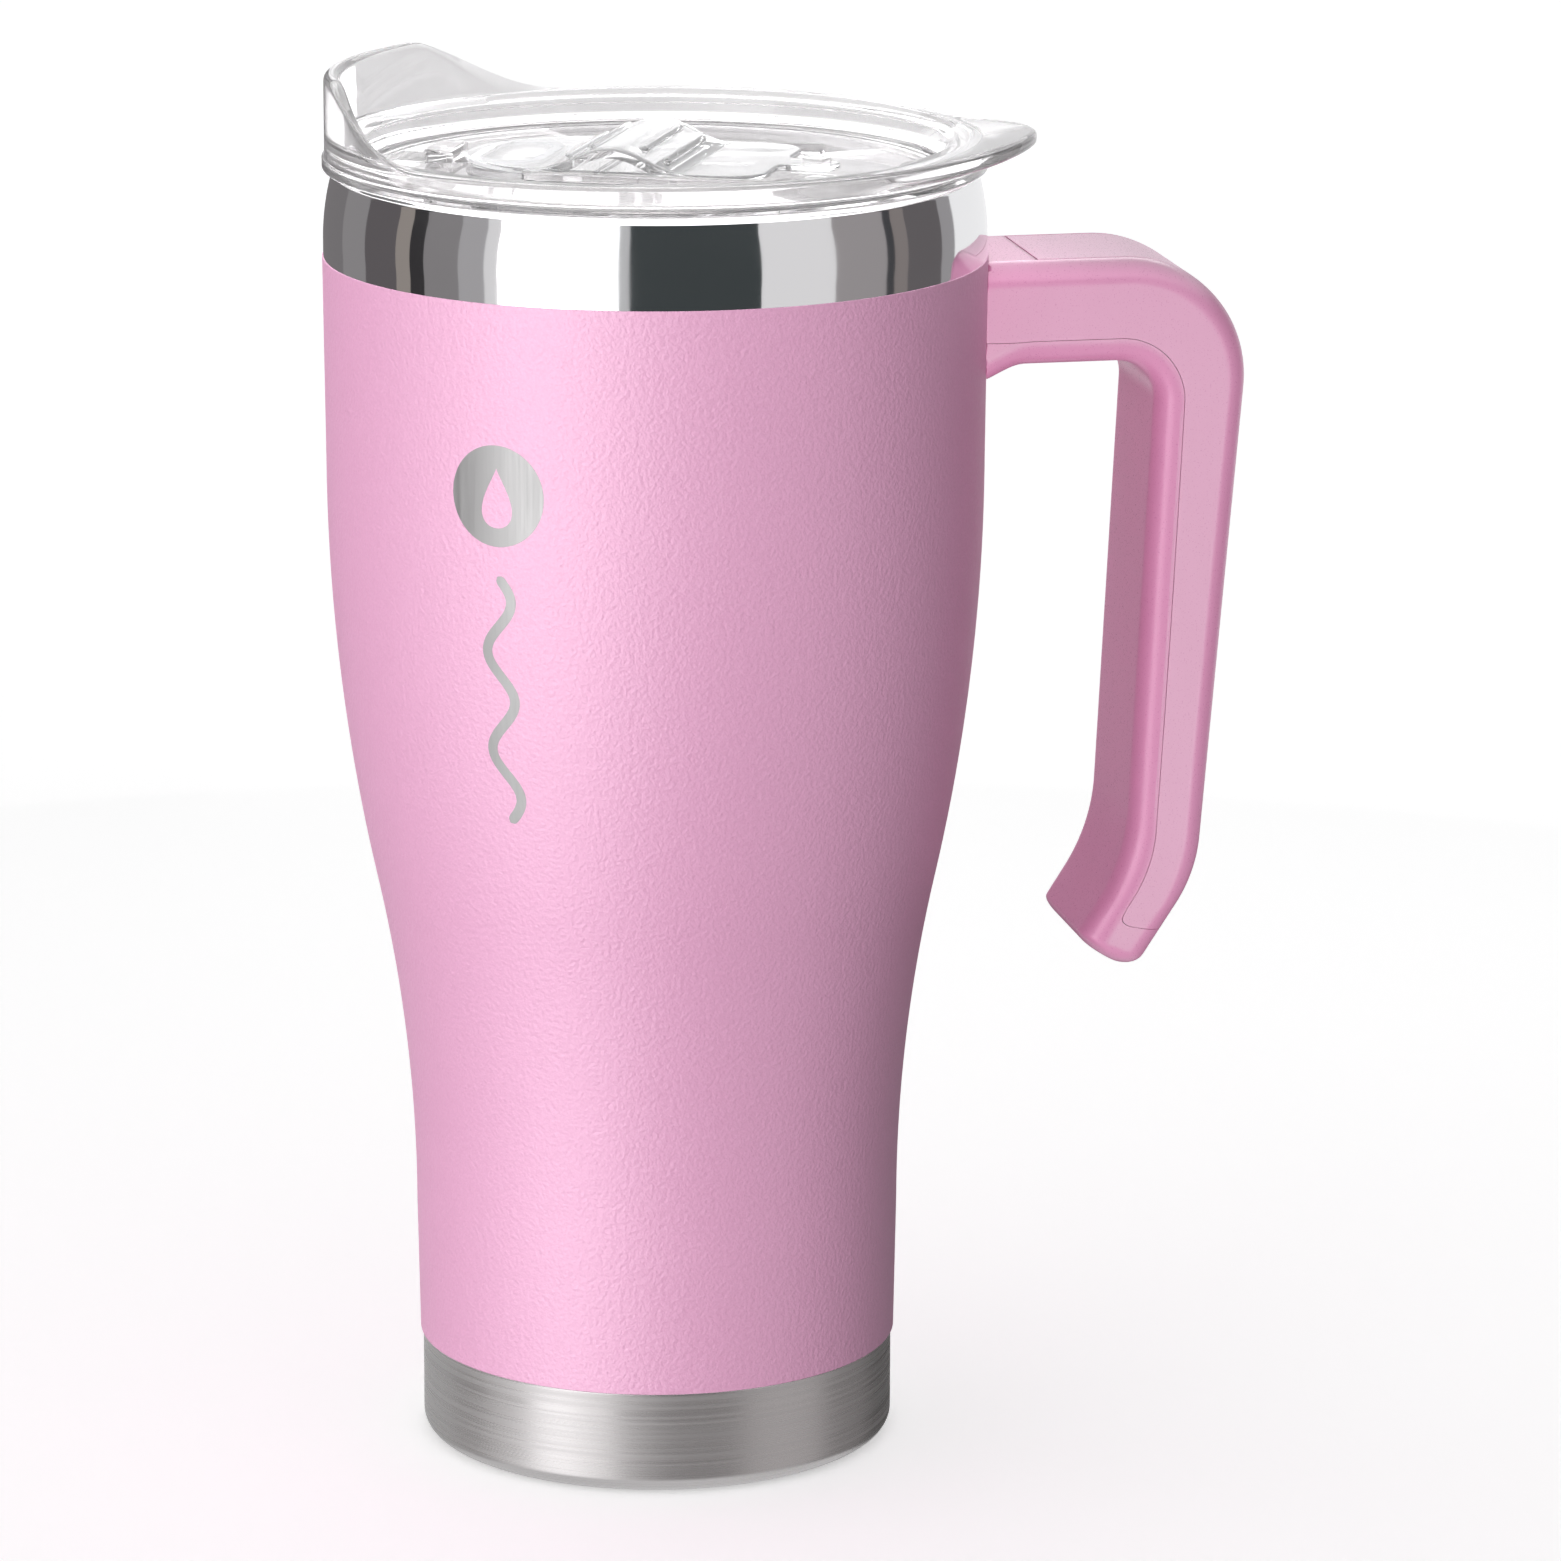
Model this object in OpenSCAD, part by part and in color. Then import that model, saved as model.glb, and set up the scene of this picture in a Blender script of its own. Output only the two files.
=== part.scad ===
// Insulated tumbler with a clear sliding lid and an open hook handle.
// The origin is the centre of the foot on the table, +Z is up and +X runs along the handle.

/* [Cup outside] */
// Height of the steel cup at its lip
cup_h = 198.6; // [190:0.1:210]
// Outside radius where the straight upper part starts
shoulder_r = 50.1; // [49:0.05:51]
// Height at which the straight upper part starts
shoulder_z = 154; // [150:1:158]
// Height at which the outline turns from convex to concave
waist_z = 89; // [80:1:98]
// Outside radius where the slim lower part starts
grip_r = 37.35; // [36.5:0.05:38]
// Height at which the slim lower part starts
grip_z = 37; // [30:1:44]
// Height of the bare brushed band at the foot
foot_band_h = 16.1; // [14:0.1:20]
// Height of the lower edge of the bare polished band
rim_band_z = 185.5; // [184.6:0.1:188]
// Outside radius of the brushed foot, sized for a vehicle cup holder
foot_r = 36.55; // [35.5:0.05:36.7]
// Thickness of the powder coat
coat_t = 0.15; // [0.1:0.05:0.3]

/* [Cup inside] */
// Thickness of the outer steel wall
wall_t = 0.8; // [0.6:0.1:1]
// Thickness of the inner steel vessel
liner_t = 0.6; // [0.5:0.1:0.8]
// Distance between the two outside faces of the outer wall and the liner
vacuum_step = 4.4; // [3.8:0.1:5]
// Inside radius of the mouth
mouth_r = 46.3; // [46.1:0.05:46.5]
// Height of the drink floor
floor_z = 12.5; // [11:0.5:16]

/* [Lid] */
// Azimuth of the drinking side of the lid
spout_azimuth = 155; // [0:1:359]
// Outside radius of the lid flange
flange_r = 50.1; // [49.8:0.1:51]
// Height of the lid flange's top
flange_top_z = 203.5; // [203:0.1:205]
// Height of the top of the splash guard
guard_top_z = 213; // [208:0.5:216]
// Reach of the thumb tab past the flange
tab_reach = 8.1; // [5:0.1:10]
// Height of the well floor
well_floor_z = 198.7; // [198.2:0.1:199]
// Radius of the well floor
well_r = 43; // [42.5:0.1:43.4]
// Travel of the slider
slider_travel = 12; // [8:0.5:12]

/* [Handle] */
// Height of the top face of the handle arm
handle_top_z = 184.4; // [183:0.1:185]
// Distance from the cup's axis to the outer face of the bend
handle_reach = 89.5; // [86:0.5:94]
// Width of the handle
handle_w = 29; // [27:0.5:31]
// Depth of the arm
arm_depth = 16; // [14.5:0.5:17]
// Width of the inlaid cover strip
strip_w = 20.8; // [18:0.2:21]
// Depth of the inlaid cover strip
strip_t = 1.2; // [1:0.1:1.4]

/* [Hidden] */
$fn = 96;
eps = 0.01;

// ---- cup outline ----
grip_draft = 0.018;
shoulder_draft = 0.009;
waist_angle = 2 * atan((shoulder_r - grip_r) / (shoulder_z - grip_z));
upper_arc_r = (shoulder_z - waist_z) / sin(waist_angle);
lower_arc_r = (waist_z - grip_z) / sin(waist_angle);
rim_r = shoulder_r + (rim_band_z - shoulder_z) * shoulder_draft;
rim_curve_z = 188;
rim_curve_r = 37;
lip_r = 1.05;
outline_step = 4;

// Outside radius of the coated cup at height z: a draft line, two tangent arcs and a draft line.
function outer_r(z) =
    z >= shoulder_z ? shoulder_r + (min(z, rim_band_z) - shoulder_z) * shoulder_draft
    : z >= waist_z ? shoulder_r - upper_arc_r + sqrt(pow(upper_arc_r, 2) - pow(shoulder_z - z, 2))
    : z >= grip_z ? grip_r + lower_arc_r - sqrt(pow(lower_arc_r, 2) - pow(z - grip_z, 2))
    : grip_r - (grip_z - z) * grip_draft;

// Outside radius of the bare steel above the coat, drawn in a little towards the lip.
function bare_r(z) = rim_r - coat_t - (z > rim_curve_z
    ? rim_curve_r - sqrt(pow(rim_curve_r, 2) - pow(z - rim_curve_z, 2)) : 0);

// Points of the cup outline from height a to height b, moved inwards by d.
function outline(a, b, d) =
    [for (i = [0:ceil((b - a) / outline_step)])
        let (z = min(b, a + i * outline_step)) [outer_r(z) - d, z]];

function flip(points) = [for (i = [len(points) - 1:-1:0]) points[i]];

// Points on an arc about [x, y], from angle a0 to angle a1.
function arc(x, y, r, a0, a1, steps = 8) =
    [for (i = [0:steps]) let (a = a0 + (a1 - a0) * i / steps) [x + r * cos(a), y + r * sin(a)]];

function between(a, b, t) = a + (b - a) * t;

function smooth(t) = let (c = max(0, min(1, t))) c * c * (3 - 2 * c);

module spin_profile(points) {
    rotate_extrude() polygon(points);
}

// ---- steel cup ----
liner_out = coat_t + vacuum_step;
liner_in = liner_out + liner_t;
liner_corner_r = 9;
mouth_straight_z = 187;
mouth_blend_z = 176;

module inner_liner() {
    base_r = outer_r(floor_z + liner_corner_r) - liner_in;
    inside = concat(
        [[0, floor_z], [8, floor_z]],
        arc(base_r - liner_corner_r, floor_z + liner_corner_r, liner_corner_r, -90, 0, 10),
        outline(floor_z + liner_corner_r + 2, mouth_blend_z, liner_in),
        [[mouth_r, mouth_straight_z], [mouth_r, cup_h - lip_r]]);
    outside = concat(
        [[mouth_r + liner_t, cup_h - lip_r], [mouth_r + liner_t, mouth_straight_z + 0.3]],
        flip(outline(floor_z + liner_corner_r + 2, mouth_blend_z, liner_out)),
        flip(arc(base_r - liner_corner_r, floor_z + liner_corner_r,
                 liner_corner_r + liner_t, -90, 0, 10)),
        [[0, floor_z - liner_t]]);
    color("silver") spin_profile(concat(inside, outside));
}

module outer_wall() {
    skin = coat_t + wall_t;
    lip_x = mouth_r + liner_t + lip_r;
    outside = concat(
        outline(foot_band_h, rim_band_z, coat_t),
        [for (z = [rim_curve_z:2:cup_h - lip_r - 1]) [bare_r(z), z]],
        arc(lip_x, cup_h - lip_r, lip_r, 0, 180, 12));
    inside = concat(
        [[mouth_r + liner_t, cup_h - 3.2], [mouth_r + liner_t + 1.1, cup_h - 3.4]],
        [for (z = [194:-2:rim_curve_z]) [bare_r(z) - wall_t, z]],
        flip(outline(foot_band_h, rim_band_z - 1, skin)));
    color("gainsboro") spin_profile(concat(outside, inside));
}

foot_inner_r = 31;
foot_flat_r = 33;
foot_corner_r = 3.5;
recess_z = 3;
recess_r = 29;
plug_r = 2;

collar_t = 0.6;
collar_h = 3;

module base_cup() {
    collar_r = outer_r(foot_band_h) - coat_t - wall_t - 0.02;
    outside = concat(
        [[0, recess_z], [recess_r, recess_z], [foot_inner_r, 0], [foot_flat_r, 0]],
        arc(foot_r - foot_corner_r, foot_corner_r, foot_corner_r, -86, 0, 8),
        [[foot_r, foot_band_h - 0.35], [foot_r - 0.3, foot_band_h - 0.05],
         [collar_r, foot_band_h - 0.05], [collar_r, foot_band_h + collar_h]]);
    inside = concat(
        [[collar_r - collar_t, foot_band_h + collar_h], [collar_r - collar_t, foot_band_h - 1.5],
         [foot_r - wall_t, foot_band_h - 2.5]],
        flip(arc(foot_r - foot_corner_r, foot_corner_r, foot_corner_r - wall_t, -86, 0, 8)),
        [[foot_flat_r, wall_t], [foot_inner_r + 0.5, wall_t], [recess_r + 0.4, recess_z + wall_t],
         [0, recess_z + wall_t]]);
    color("darkgray") difference() {
        spin_profile(concat(outside, inside));
        translate([0, 0, recess_z - 1]) cylinder(r = plug_r, h = wall_t + 2);
    }
}

cover_t = 0.5;

module bottom_cover() {
    color("silver") union() {
        translate([0, 0, recess_z - cover_t]) cylinder(r = recess_r - 0.2, h = cover_t);
        translate([0, 0, recess_z - cover_t - 0.3]) difference() {
            cylinder(r = 22, h = 0.4);
            translate([0, 0, -1]) cylinder(r = 21, h = 3);
        }
    }
}

module vacuum_plug() {
    color("dimgray") union() {
        translate([0, 0, recess_z]) cylinder(r = plug_r, h = wall_t);
        translate([0, 0, recess_z + wall_t]) cylinder(r = plug_r + 1, h = 0.8);
    }
}

getter_x = 14;
getter_r = 5;
getter_t = 2.4;
getter_top = floor_z - liner_t - 0.9;

module getter() {
    color("slategray")
        translate([getter_x, 0, getter_top - getter_t]) cylinder(r = getter_r, h = getter_t);
}

module getter_clip() {
    strap_w = 4;
    foot_len = 4;
    color("silver") translate([getter_x, 0, 0]) union() {
        for (side = [-1, 1])
            translate([side * (getter_r + 0.6) - 0.3, -strap_w / 2, getter_top - getter_t - 0.3])
                cube([0.6, strap_w, getter_t + 1.2]);
        translate([-getter_r - 0.9, -strap_w / 2, getter_top - getter_t - 0.6])
            cube([2 * getter_r + 1.8, strap_w, 0.6]);
        for (side = [-1, 1])
            translate([side > 0 ? getter_r + 0.3 : -getter_r - 0.3 - foot_len, -strap_w / 2,
                       getter_top + 0.3]) cube([foot_len, strap_w, 0.6]);
    }
}

foil_t = 0.1;
foil_gap = 0.3;

module radiation_foil() {
    outside = outline(26, mouth_blend_z - 4, liner_out - foil_gap - foil_t);
    inside = flip(outline(26, mouth_blend_z - 4, liner_out - foil_gap));
    color("peru") spin_profile(concat(outside, inside));
}

// ---- powder coat ----
module powder_coat() {
    top = rim_band_z;
    skin = concat(outline(foot_band_h, top, 0), flip(outline(foot_band_h, top, coat_t)));
    color("#eeb4d4") difference() {
        spin_profile(skin);
        translate([40, -bracket_w / 2 - 0.2, bracket_z - bracket_h / 2 - 0.2])
            cube([20, bracket_w + 0.4, bracket_h + 0.4]);
    }
}

// ---- handle ----
lean_out = 4.7;
lean_in = 2.8;
tip_turn = 33;
bend_r = 19;
crook_r = 6;
crook_x = 69.3;
tip_arc_out_r = 22;
tip_arc_in_r = 30;
tip_arc_out_z = 93;
tip_arc_in_z = 98;
tip_out_len = 13;
tip_in_len = 6.55;
root_x = 46;
root_flare = 3;
root_flare_len = 9;
edge_r = 3.5;
shell_t = 2.2;
seam_depth = 4;
strip_start_x = 56.7;
strip_end_z = 101;
tip_round = 1.5;
pocket_draft = 0.1;
bend_x = handle_reach - bend_r;
bend_z = handle_top_z - bend_r;
crook_z = handle_top_z - arm_depth - crook_r;

// Point reached from p after going down to height z at a lean of a degrees from plumb.
function lean_to(p, a, z) = [p[0] - (p[1] - z) * tan(a), z];
// Point at distance d from p, heading down at a degrees from plumb.
function head(p, a, d) = p - d * [sin(a), cos(a)];
// Arc of radius r that starts at p and turns the downward heading from a0 to a1 degrees.
function tip_arc(p, r, a0, a1) = arc(p[0] - r * cos(a0), p[1] + r * sin(a0), r, -a0, -a1, 8);

function last(points) = points[len(points) - 1];

// Side outlines of the handle, outer and inner, with the same number of points.
out_bend = arc(bend_x, bend_z, bend_r, 90, -lean_out, 10);
in_bend = arc(crook_x, crook_z, crook_r, 90, -lean_in, 10);
out_tip = tip_arc(lean_to(last(out_bend), lean_out, tip_arc_out_z), tip_arc_out_r,
                  lean_out, tip_turn);
in_tip = tip_arc(lean_to(last(in_bend), lean_in, tip_arc_in_z), tip_arc_in_r,
                 lean_in, tip_turn);
strip_step = 0.03;
arm_marks = [root_x, 50.5, 54, strip_start_x - strip_step, strip_start_x, 64];
lean_marks = [146, 128, 112, strip_end_z, strip_end_z - strip_step];

out_side = concat(
    [for (x = arm_marks) [x, handle_top_z]],
    out_bend,
    [for (z = lean_marks) lean_to(last(out_bend), lean_out, z)],
    out_tip,
    [head(last(out_tip), tip_turn, tip_out_len - tip_round),
     head(last(out_tip), tip_turn, tip_out_len)]);
in_side = concat(
    [for (x = arm_marks)
        [x, handle_top_z - arm_depth - root_flare * smooth(1 - (x - root_x) / root_flare_len)]],
    in_bend,
    [for (z = lean_marks) lean_to(last(in_bend), lean_in, z)],
    in_tip,
    [head(last(in_tip), tip_turn, tip_in_len - tip_round),
     head(last(in_tip), tip_turn, tip_in_len)]);
rings = len(out_side);

// Point of ring i that lies d inside the outer outline and y to the side.
function station(i, d, y) =
    let (n = (in_side[i] - out_side[i]) / norm(in_side[i] - out_side[i]),
         p = out_side[i] + d * n)
    [p[0], y, p[1]];
function depth(i) = norm(in_side[i] - out_side[i]);
// Amount by which the last ring is drawn in to round the tip.
function draw_in(i) = i == rings - 1 ? tip_round : 0;

// The strip lies in a pocket from the first mark past the root to a little above the tip.
function in_strip(i) = out_side[i][0] >= strip_start_x && out_side[i][1] >= strip_end_z;
function pocket(i) = in_strip(i) ? strip_t : 0;

function quarter(y, d, r, a0, a1) =
    [for (k = [0:3]) let (a = a0 + (a1 - a0) * k / 3) [y + r * cos(a), d - r * sin(a)]];

// Sections as [side, depth] pairs: the outer shell with its strip pocket and its hollow.
function outer_skin(i) =
    let (w = handle_w / 2 - draw_in(i), top = draw_in(i), p = pocket(i) + top, s = strip_w / 2,
         r = edge_r - draw_in(i))
    concat(
        [[w, depth(i) - seam_depth]],
        quarter(w - r, top + r, r, 0, 90),
        [[s, top], [s - pocket_draft, p], [-s + pocket_draft, p], [-s, top]],
        quarter(-w + r, top + r, r, 90, 180),
        [[-w, depth(i) - seam_depth]]);
function outer_hollow(i) =
    let (w = handle_w / 2 - shell_t, top = strip_t + shell_t)
    [[-w, depth(i) - seam_depth], [-w, top], [w, top], [w, depth(i) - seam_depth]];
function inner_skin(i) =
    let (w = handle_w / 2 - draw_in(i), low = depth(i) - draw_in(i), r = edge_r - draw_in(i))
    concat(
        [[-w, depth(i) - seam_depth]],
        quarter(-w + r, low - r, r, 180, 270),
        quarter(w - r, low - r, r, 270, 360),
        [[w, depth(i) - seam_depth]]);
function inner_hollow(i) =
    let (w = handle_w / 2 - shell_t, low = depth(i) - shell_t)
    [[w, depth(i) - seam_depth], [w, low], [-w, low], [-w, depth(i) - seam_depth]];

// The hollow stops one wall short of the tip, so its last ring moves back along the path.
function pulled(i, p) =
    let (q = station(i, p[1], p[0]),
         back = i == rings - 1 ? shell_t : i == rings - 2 ? shell_t - tip_round + 0.5 : 0)
    q + back * [sin(tip_turn), 0, cos(tip_turn)];

// A trough: skins[i] outside and hollows[i] inside at ring i, open on the seam, shut at the tip.
module trough(skins, hollows) {
    n = len(skins[0]);
    m = len(hollows[0]);
    t = n + m;
    points = [for (i = [0:rings - 1]) each concat(
        [for (p = skins[i]) station(i, p[1], p[0])],
        [for (p = hollows[i]) pulled(i, p)])];
    sides = [for (i = [0:rings - 2], k = [0:t - 1])
        let (a = i * t + k, b = i * t + (k + 1) % t) each [[a, b + t, b], [a, a + t, b + t]]];
    e = (rings - 1) * t;
    // The root face is a band of triangles between the skin and the four hollow corners.
    function corner(k) = t - 1 - (k == 0 ? 0 : k < n / 2 ? 1 : k < n - 1 ? 2 : 3);
    root_cap = [for (k = [0:n - 2]) each concat(
        [[k, k + 1, corner(k)]],
        corner(k) == corner(k + 1) ? [] : [[corner(k), k + 1, corner(k + 1)]])];
    tip_cap = [[for (k = [n - 1:-1:0]) e + k]];
    hollow_end = [[for (k = [m - 1:-1:0]) e + n + k]];
    tip_lip = [[e + t - 1, e + n, e + n - 1, e]];
    polyhedron(points, concat(sides, root_cap, tip_cap, hollow_end, tip_lip), convexity = 6);
}

// Space taken by the coated cup, which the handle root is scribed to.
module cup_space() {
    spin_profile(concat([[0, 150]], [for (z = [150:5:190]) [outer_r(z) + 0.05, z]], [[0, 190]]));
}

boss_marks = [152, 128, 106];
boss_r = 3.2;
boss_hole_r = 1.25;
shell_head_r = 2.4;
shell_head_t = 1.2;
shell_head_sink = 0.3;
bracket_marks = [61, 67.5];
bracket_screw_r = 1.5;
bracket_head_r = 2.8;
bracket_head_t = 1.3;

// Outer face of the grip at height z, on the straight stretch.
function grip_face(z) = last(out_bend)[0] - (last(out_bend)[1] - z) * tan(lean_out);
function grip_back(z) = last(in_bend)[0] - (last(in_bend)[1] - z) * tan(lean_in);

module handle_inner_shell() {
    color("#dc9cc0") difference() {
        union() {
            trough([for (i = [0:rings - 1]) inner_skin(i)], [for (i = [0:rings - 1]) inner_hollow(i)]);
            for (z = boss_marks)
                translate([grip_back(z) + 1, 0, z]) rotate([0, 90, 0])
                    cylinder(r = boss_r, h = grip_face(z) - grip_back(z) - 2 - strip_t - shell_t);
        }
        cup_space();
        for (z = boss_marks)
            translate([grip_back(z) + 2, 0, z]) rotate([0, 90, 0]) cylinder(r = boss_hole_r, h = 20);
    }
}

module handle_outer_shell() {
    pocket_floor = handle_top_z - strip_t;
    color("#e3a5c8") difference() {
        trough([for (i = [0:rings - 1]) outer_skin(i)], [for (i = [0:rings - 1]) outer_hollow(i)]);
        cup_space();
        for (x = bracket_marks) {
            translate([x, 0, pocket_floor - 6]) cylinder(r = bracket_screw_r + 0.1, h = 8);
            translate([x, 0, pocket_floor - bracket_head_t]) cylinder(r = bracket_head_r + 0.1, h = 2);
        }
        for (z = boss_marks) translate([grip_face(z), 0, z]) rotate([0, 90, 0]) {
            translate([0, 0, -8]) cylinder(r = boss_hole_r + 0.1, h = 10);
            translate([0, 0, -strip_t - shell_head_t - shell_head_sink])
                cylinder(r = shell_head_r + 0.1, h = 4);
        }
    }
}

module shell_screws() {
    color("dimgray") for (z = boss_marks) translate([grip_face(z), 0, z]) rotate([0, 90, 0]) {
        difference() {
            translate([0, 0, -strip_t - shell_head_t - shell_head_sink]) union() {
                cylinder(r = shell_head_r, h = shell_head_t);
                translate([0, 0, -5]) cylinder(r = boss_hole_r - 0.02, h = 5 + eps);
            }
            translate([-shell_head_r, -0.3, -strip_t - 0.9]) cube([2 * shell_head_r, 0.6, 2]);
            translate([-0.3, -shell_head_r, -strip_t - 0.9]) cube([0.6, 2 * shell_head_r, 2]);
        }
    }
}

strip_rings = [for (i = [0:rings - 1]) if (in_strip(i)) i];
strip_clear = 0.05;

module handle_cover() {
    s = strip_w / 2 - strip_clear;
    foot = s - pocket_draft;
    low = strip_t - 0.02;
    count = len(strip_rings);
    points = [for (i = strip_rings) each
        [station(i, 0, s), station(i, 0, -s), station(i, low, -foot), station(i, low, foot)]];
    sides = [for (i = [0:count - 2], k = [0:3])
        let (a = i * 4 + k, b = i * 4 + (k + 1) % 4) each [[a, b + 4, b], [a, a + 4, b + 4]]];
    e = (count - 1) * 4;
    color("#e9add0")
        polyhedron(points, concat(sides, [[0, 1, 2, 3], [e + 3, e + 2, e + 1, e]]), convexity = 4);
}

bracket_w = 18;
bracket_h = 9.6;
bracket_z = 176;
bracket_t = 1.6;
tongue_w = 14;
tongue_t = 4;
tongue_end = 72;

module handle_bracket() {
    tongue_top = handle_top_z - strip_t - shell_t;
    plate_r = outer_r(bracket_z) - coat_t;
    color("gray") difference() {
        union() {
            intersection() {
                translate([0, 0, bracket_z - bracket_h / 2]) difference() {
                    cylinder(r = plate_r + bracket_t, h = bracket_h);
                    translate([0, 0, -1]) cylinder(r = plate_r + 0.05, h = bracket_h + 2);
                }
                translate([40, -bracket_w / 2, bracket_z - bracket_h / 2])
                    cube([20, bracket_w, bracket_h]);
            }
            translate([plate_r + 0.4, -tongue_w / 2, tongue_top - tongue_t])
                cube([tongue_end - plate_r - 0.4, tongue_w, tongue_t]);
        }
        for (x = bracket_marks)
            translate([x, 0, tongue_top - tongue_t - 1]) cylinder(r = bracket_screw_r, h = tongue_t + 2);
    }
}

module bracket_screws() {
    head_z = handle_top_z - strip_t - bracket_head_t;
    color("dimgray") for (x = bracket_marks) translate([x, 0, head_z]) difference() {
        union() {
            cylinder(r = bracket_head_r, h = bracket_head_t);
            translate([0, 0, -6]) cylinder(r = bracket_screw_r, h = 6 + eps);
        }
        translate([-1.8, -0.35, bracket_head_t - 0.7]) cube([3.6, 0.7, 2]);
        translate([-0.35, -1.8, bracket_head_t - 0.7]) cube([0.7, 3.6, 2]);
    }
}

// ---- lid ----
flange_low_z = cup_h + 0.3;
flange_step_z = 200.6;
plug_r_out = 45.7;
groove_r = 44.5;
groove_low_z = 190.6;
groove_high_z = 195.4;
skirt_low_z = 189.6;
lid_floor_t = 2.2;
well_mouth_r = 44;
guard_t = 2.5;
guard_flat = 22;
guard_end = 50;
tab_half = 42;
tab_lift = 2.5;
tab_tip_t = 2.2;
hole_u = -21.5;
hole_half_w = 3.2;
hole_half_len = 8;
slot_w = 6.4;
slot_start = -3.2;
slot_end = slider_travel + 3.2;
rail_v = 17.3;
rail_w = 1.2;
rail_h = 1.5;
stop_u = -35;

// Places children with +X along the slider's opening direction, towards the thumb tab.
module lid_frame() {
    rotate([0, 0, spout_azimuth + 180]) children();
}

// A slot with round ends along Y, of half width w and half length l.
module pill(w, l) {
    translate([-w, -l + w]) square([2 * w, 2 * (l - w)]);
    for (side = [-1, 1]) translate([0, side * (l - w)]) circle(r = w);
}

// Height of the splash guard at angle a from the middle of the drinking side.
function guard_z(a) =
    between(flange_top_z, guard_top_z, smooth((guard_end - a) / (guard_end - guard_flat)));
// Plan radius of the thumb tab at angle a from its middle.
function tab_r(a) = flange_r + tab_reach * smooth(1 - abs(a) / tab_half);

module guard() {
    low = flange_step_z;
    half = flange_r * sin(guard_end);
    crest = [for (v = [-half:half / 16:half + eps]) [v, guard_z(asin(abs(v) / flange_r))]];
    intersection() {
        rotate_extrude() polygon(concat(
            [[flange_r - guard_t - 1, low], [flange_r - 0.2, low]],
            arc(flange_r - 1.2, guard_top_z - 1, 1, 0, 90, 4),
            [[flange_r - guard_t + 0.2, guard_top_z], [flange_r - guard_t, guard_top_z - 0.5]]));
        rotate([90, 0, -90]) linear_extrude(60) polygon(concat(
            [[-half, low - 1]], crest, [[half, low - 1]]));
    }
}

module tab() {
    plan = [for (a = [-tab_half:3:tab_half]) tab_r(a) * [cos(a), sin(a)]];
    tip = flange_r + tab_reach;
    neck = flange_r * cos(tab_half);
    difference() {
        tab_block(plan, tip, neck);
        translate([0, 0, 190]) cylinder(r = well_mouth_r + 1.5, h = 30);
    }
}

module tab_block(plan, tip, neck) {
    intersection() {
        translate([0, 0, 190]) linear_extrude(30) polygon(concat([[20, 0]], plan));
        rotate([90, 0, 0]) translate([0, 0, -60]) linear_extrude(120) polygon([
            [neck, flange_low_z + 1], [flange_r - 1, flange_low_z + 1],
            [flange_r + 2, flange_low_z + 3.4], [tip, flange_top_z + tab_lift - tab_tip_t],
            [tip, flange_top_z + tab_lift - 0.5], [tip - 1, flange_top_z + tab_lift],
            [flange_r - 3, flange_top_z + 0.5], [neck, flange_top_z]]);
    }
}

module lid_body() {
    shell = [
        [0, well_floor_z - lid_floor_t], [well_r - 1.2, well_floor_z - lid_floor_t],
        [well_r - 0.2, well_floor_z - lid_floor_t - 1], [well_r, skirt_low_z],
        [plug_r_out - 0.6, skirt_low_z], [plug_r_out, skirt_low_z + 0.6],
        [plug_r_out, groove_low_z], [groove_r, groove_low_z], [groove_r, groove_high_z],
        [plug_r_out, groove_high_z], [plug_r_out, flange_low_z - 0.6],
        [plug_r_out + 0.3, flange_low_z], [flange_r - 0.4, flange_low_z],
        [flange_r + 0.2, flange_low_z + 0.5], [flange_r + 0.2, flange_step_z - 0.3],
        [flange_r - 0.2, flange_step_z], [flange_r - 0.2, flange_top_z - 0.9],
        [flange_r - 1.1, flange_top_z], [well_mouth_r + 1, flange_top_z],
        [well_mouth_r, flange_top_z - 0.8], [well_r + 0.2, well_floor_z + 0.8],
        [well_r - 0.6, well_floor_z], [0, well_floor_z]];
    color("#e9eef0") lid_frame() difference() {
        union() {
            spin_profile(shell);
            guard();
            tab();
            for (side = [-1, 1])
                translate([-16, side * rail_v - (side > 0 ? 0 : rail_w), well_floor_z - 0.5])
                    cube([38, rail_w, rail_h + 0.5]);
            translate([stop_u, -5, well_floor_z - 0.5]) cube([4.5, 10, 2.5]);
        }
        translate([hole_u, 0, well_floor_z - 5]) linear_extrude(10) pill(hole_half_w, hole_half_len);
        translate([slot_start, -slot_w / 2, well_floor_z - 5])
            cube([slot_end - slot_start, slot_w, 10]);
        translate([0, 0, flange_top_z - 0.8]) rotate([0, 0, 22])
            ledge_cut(180 - guard_flat - 18 - 22);
        translate([0, 0, flange_top_z - 0.8]) rotate([0, 0, -180 + guard_flat + 18])
            ledge_cut(180 - guard_flat - 18 - 22);
    }
}

// The shallow ledge between the well and the raised outer edge, over a sweep of a degrees.
module ledge_cut(a) {
    rotate_extrude(angle = a) translate([well_mouth_r - 0.5, 0]) square([3.4, 2]);
}

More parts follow.
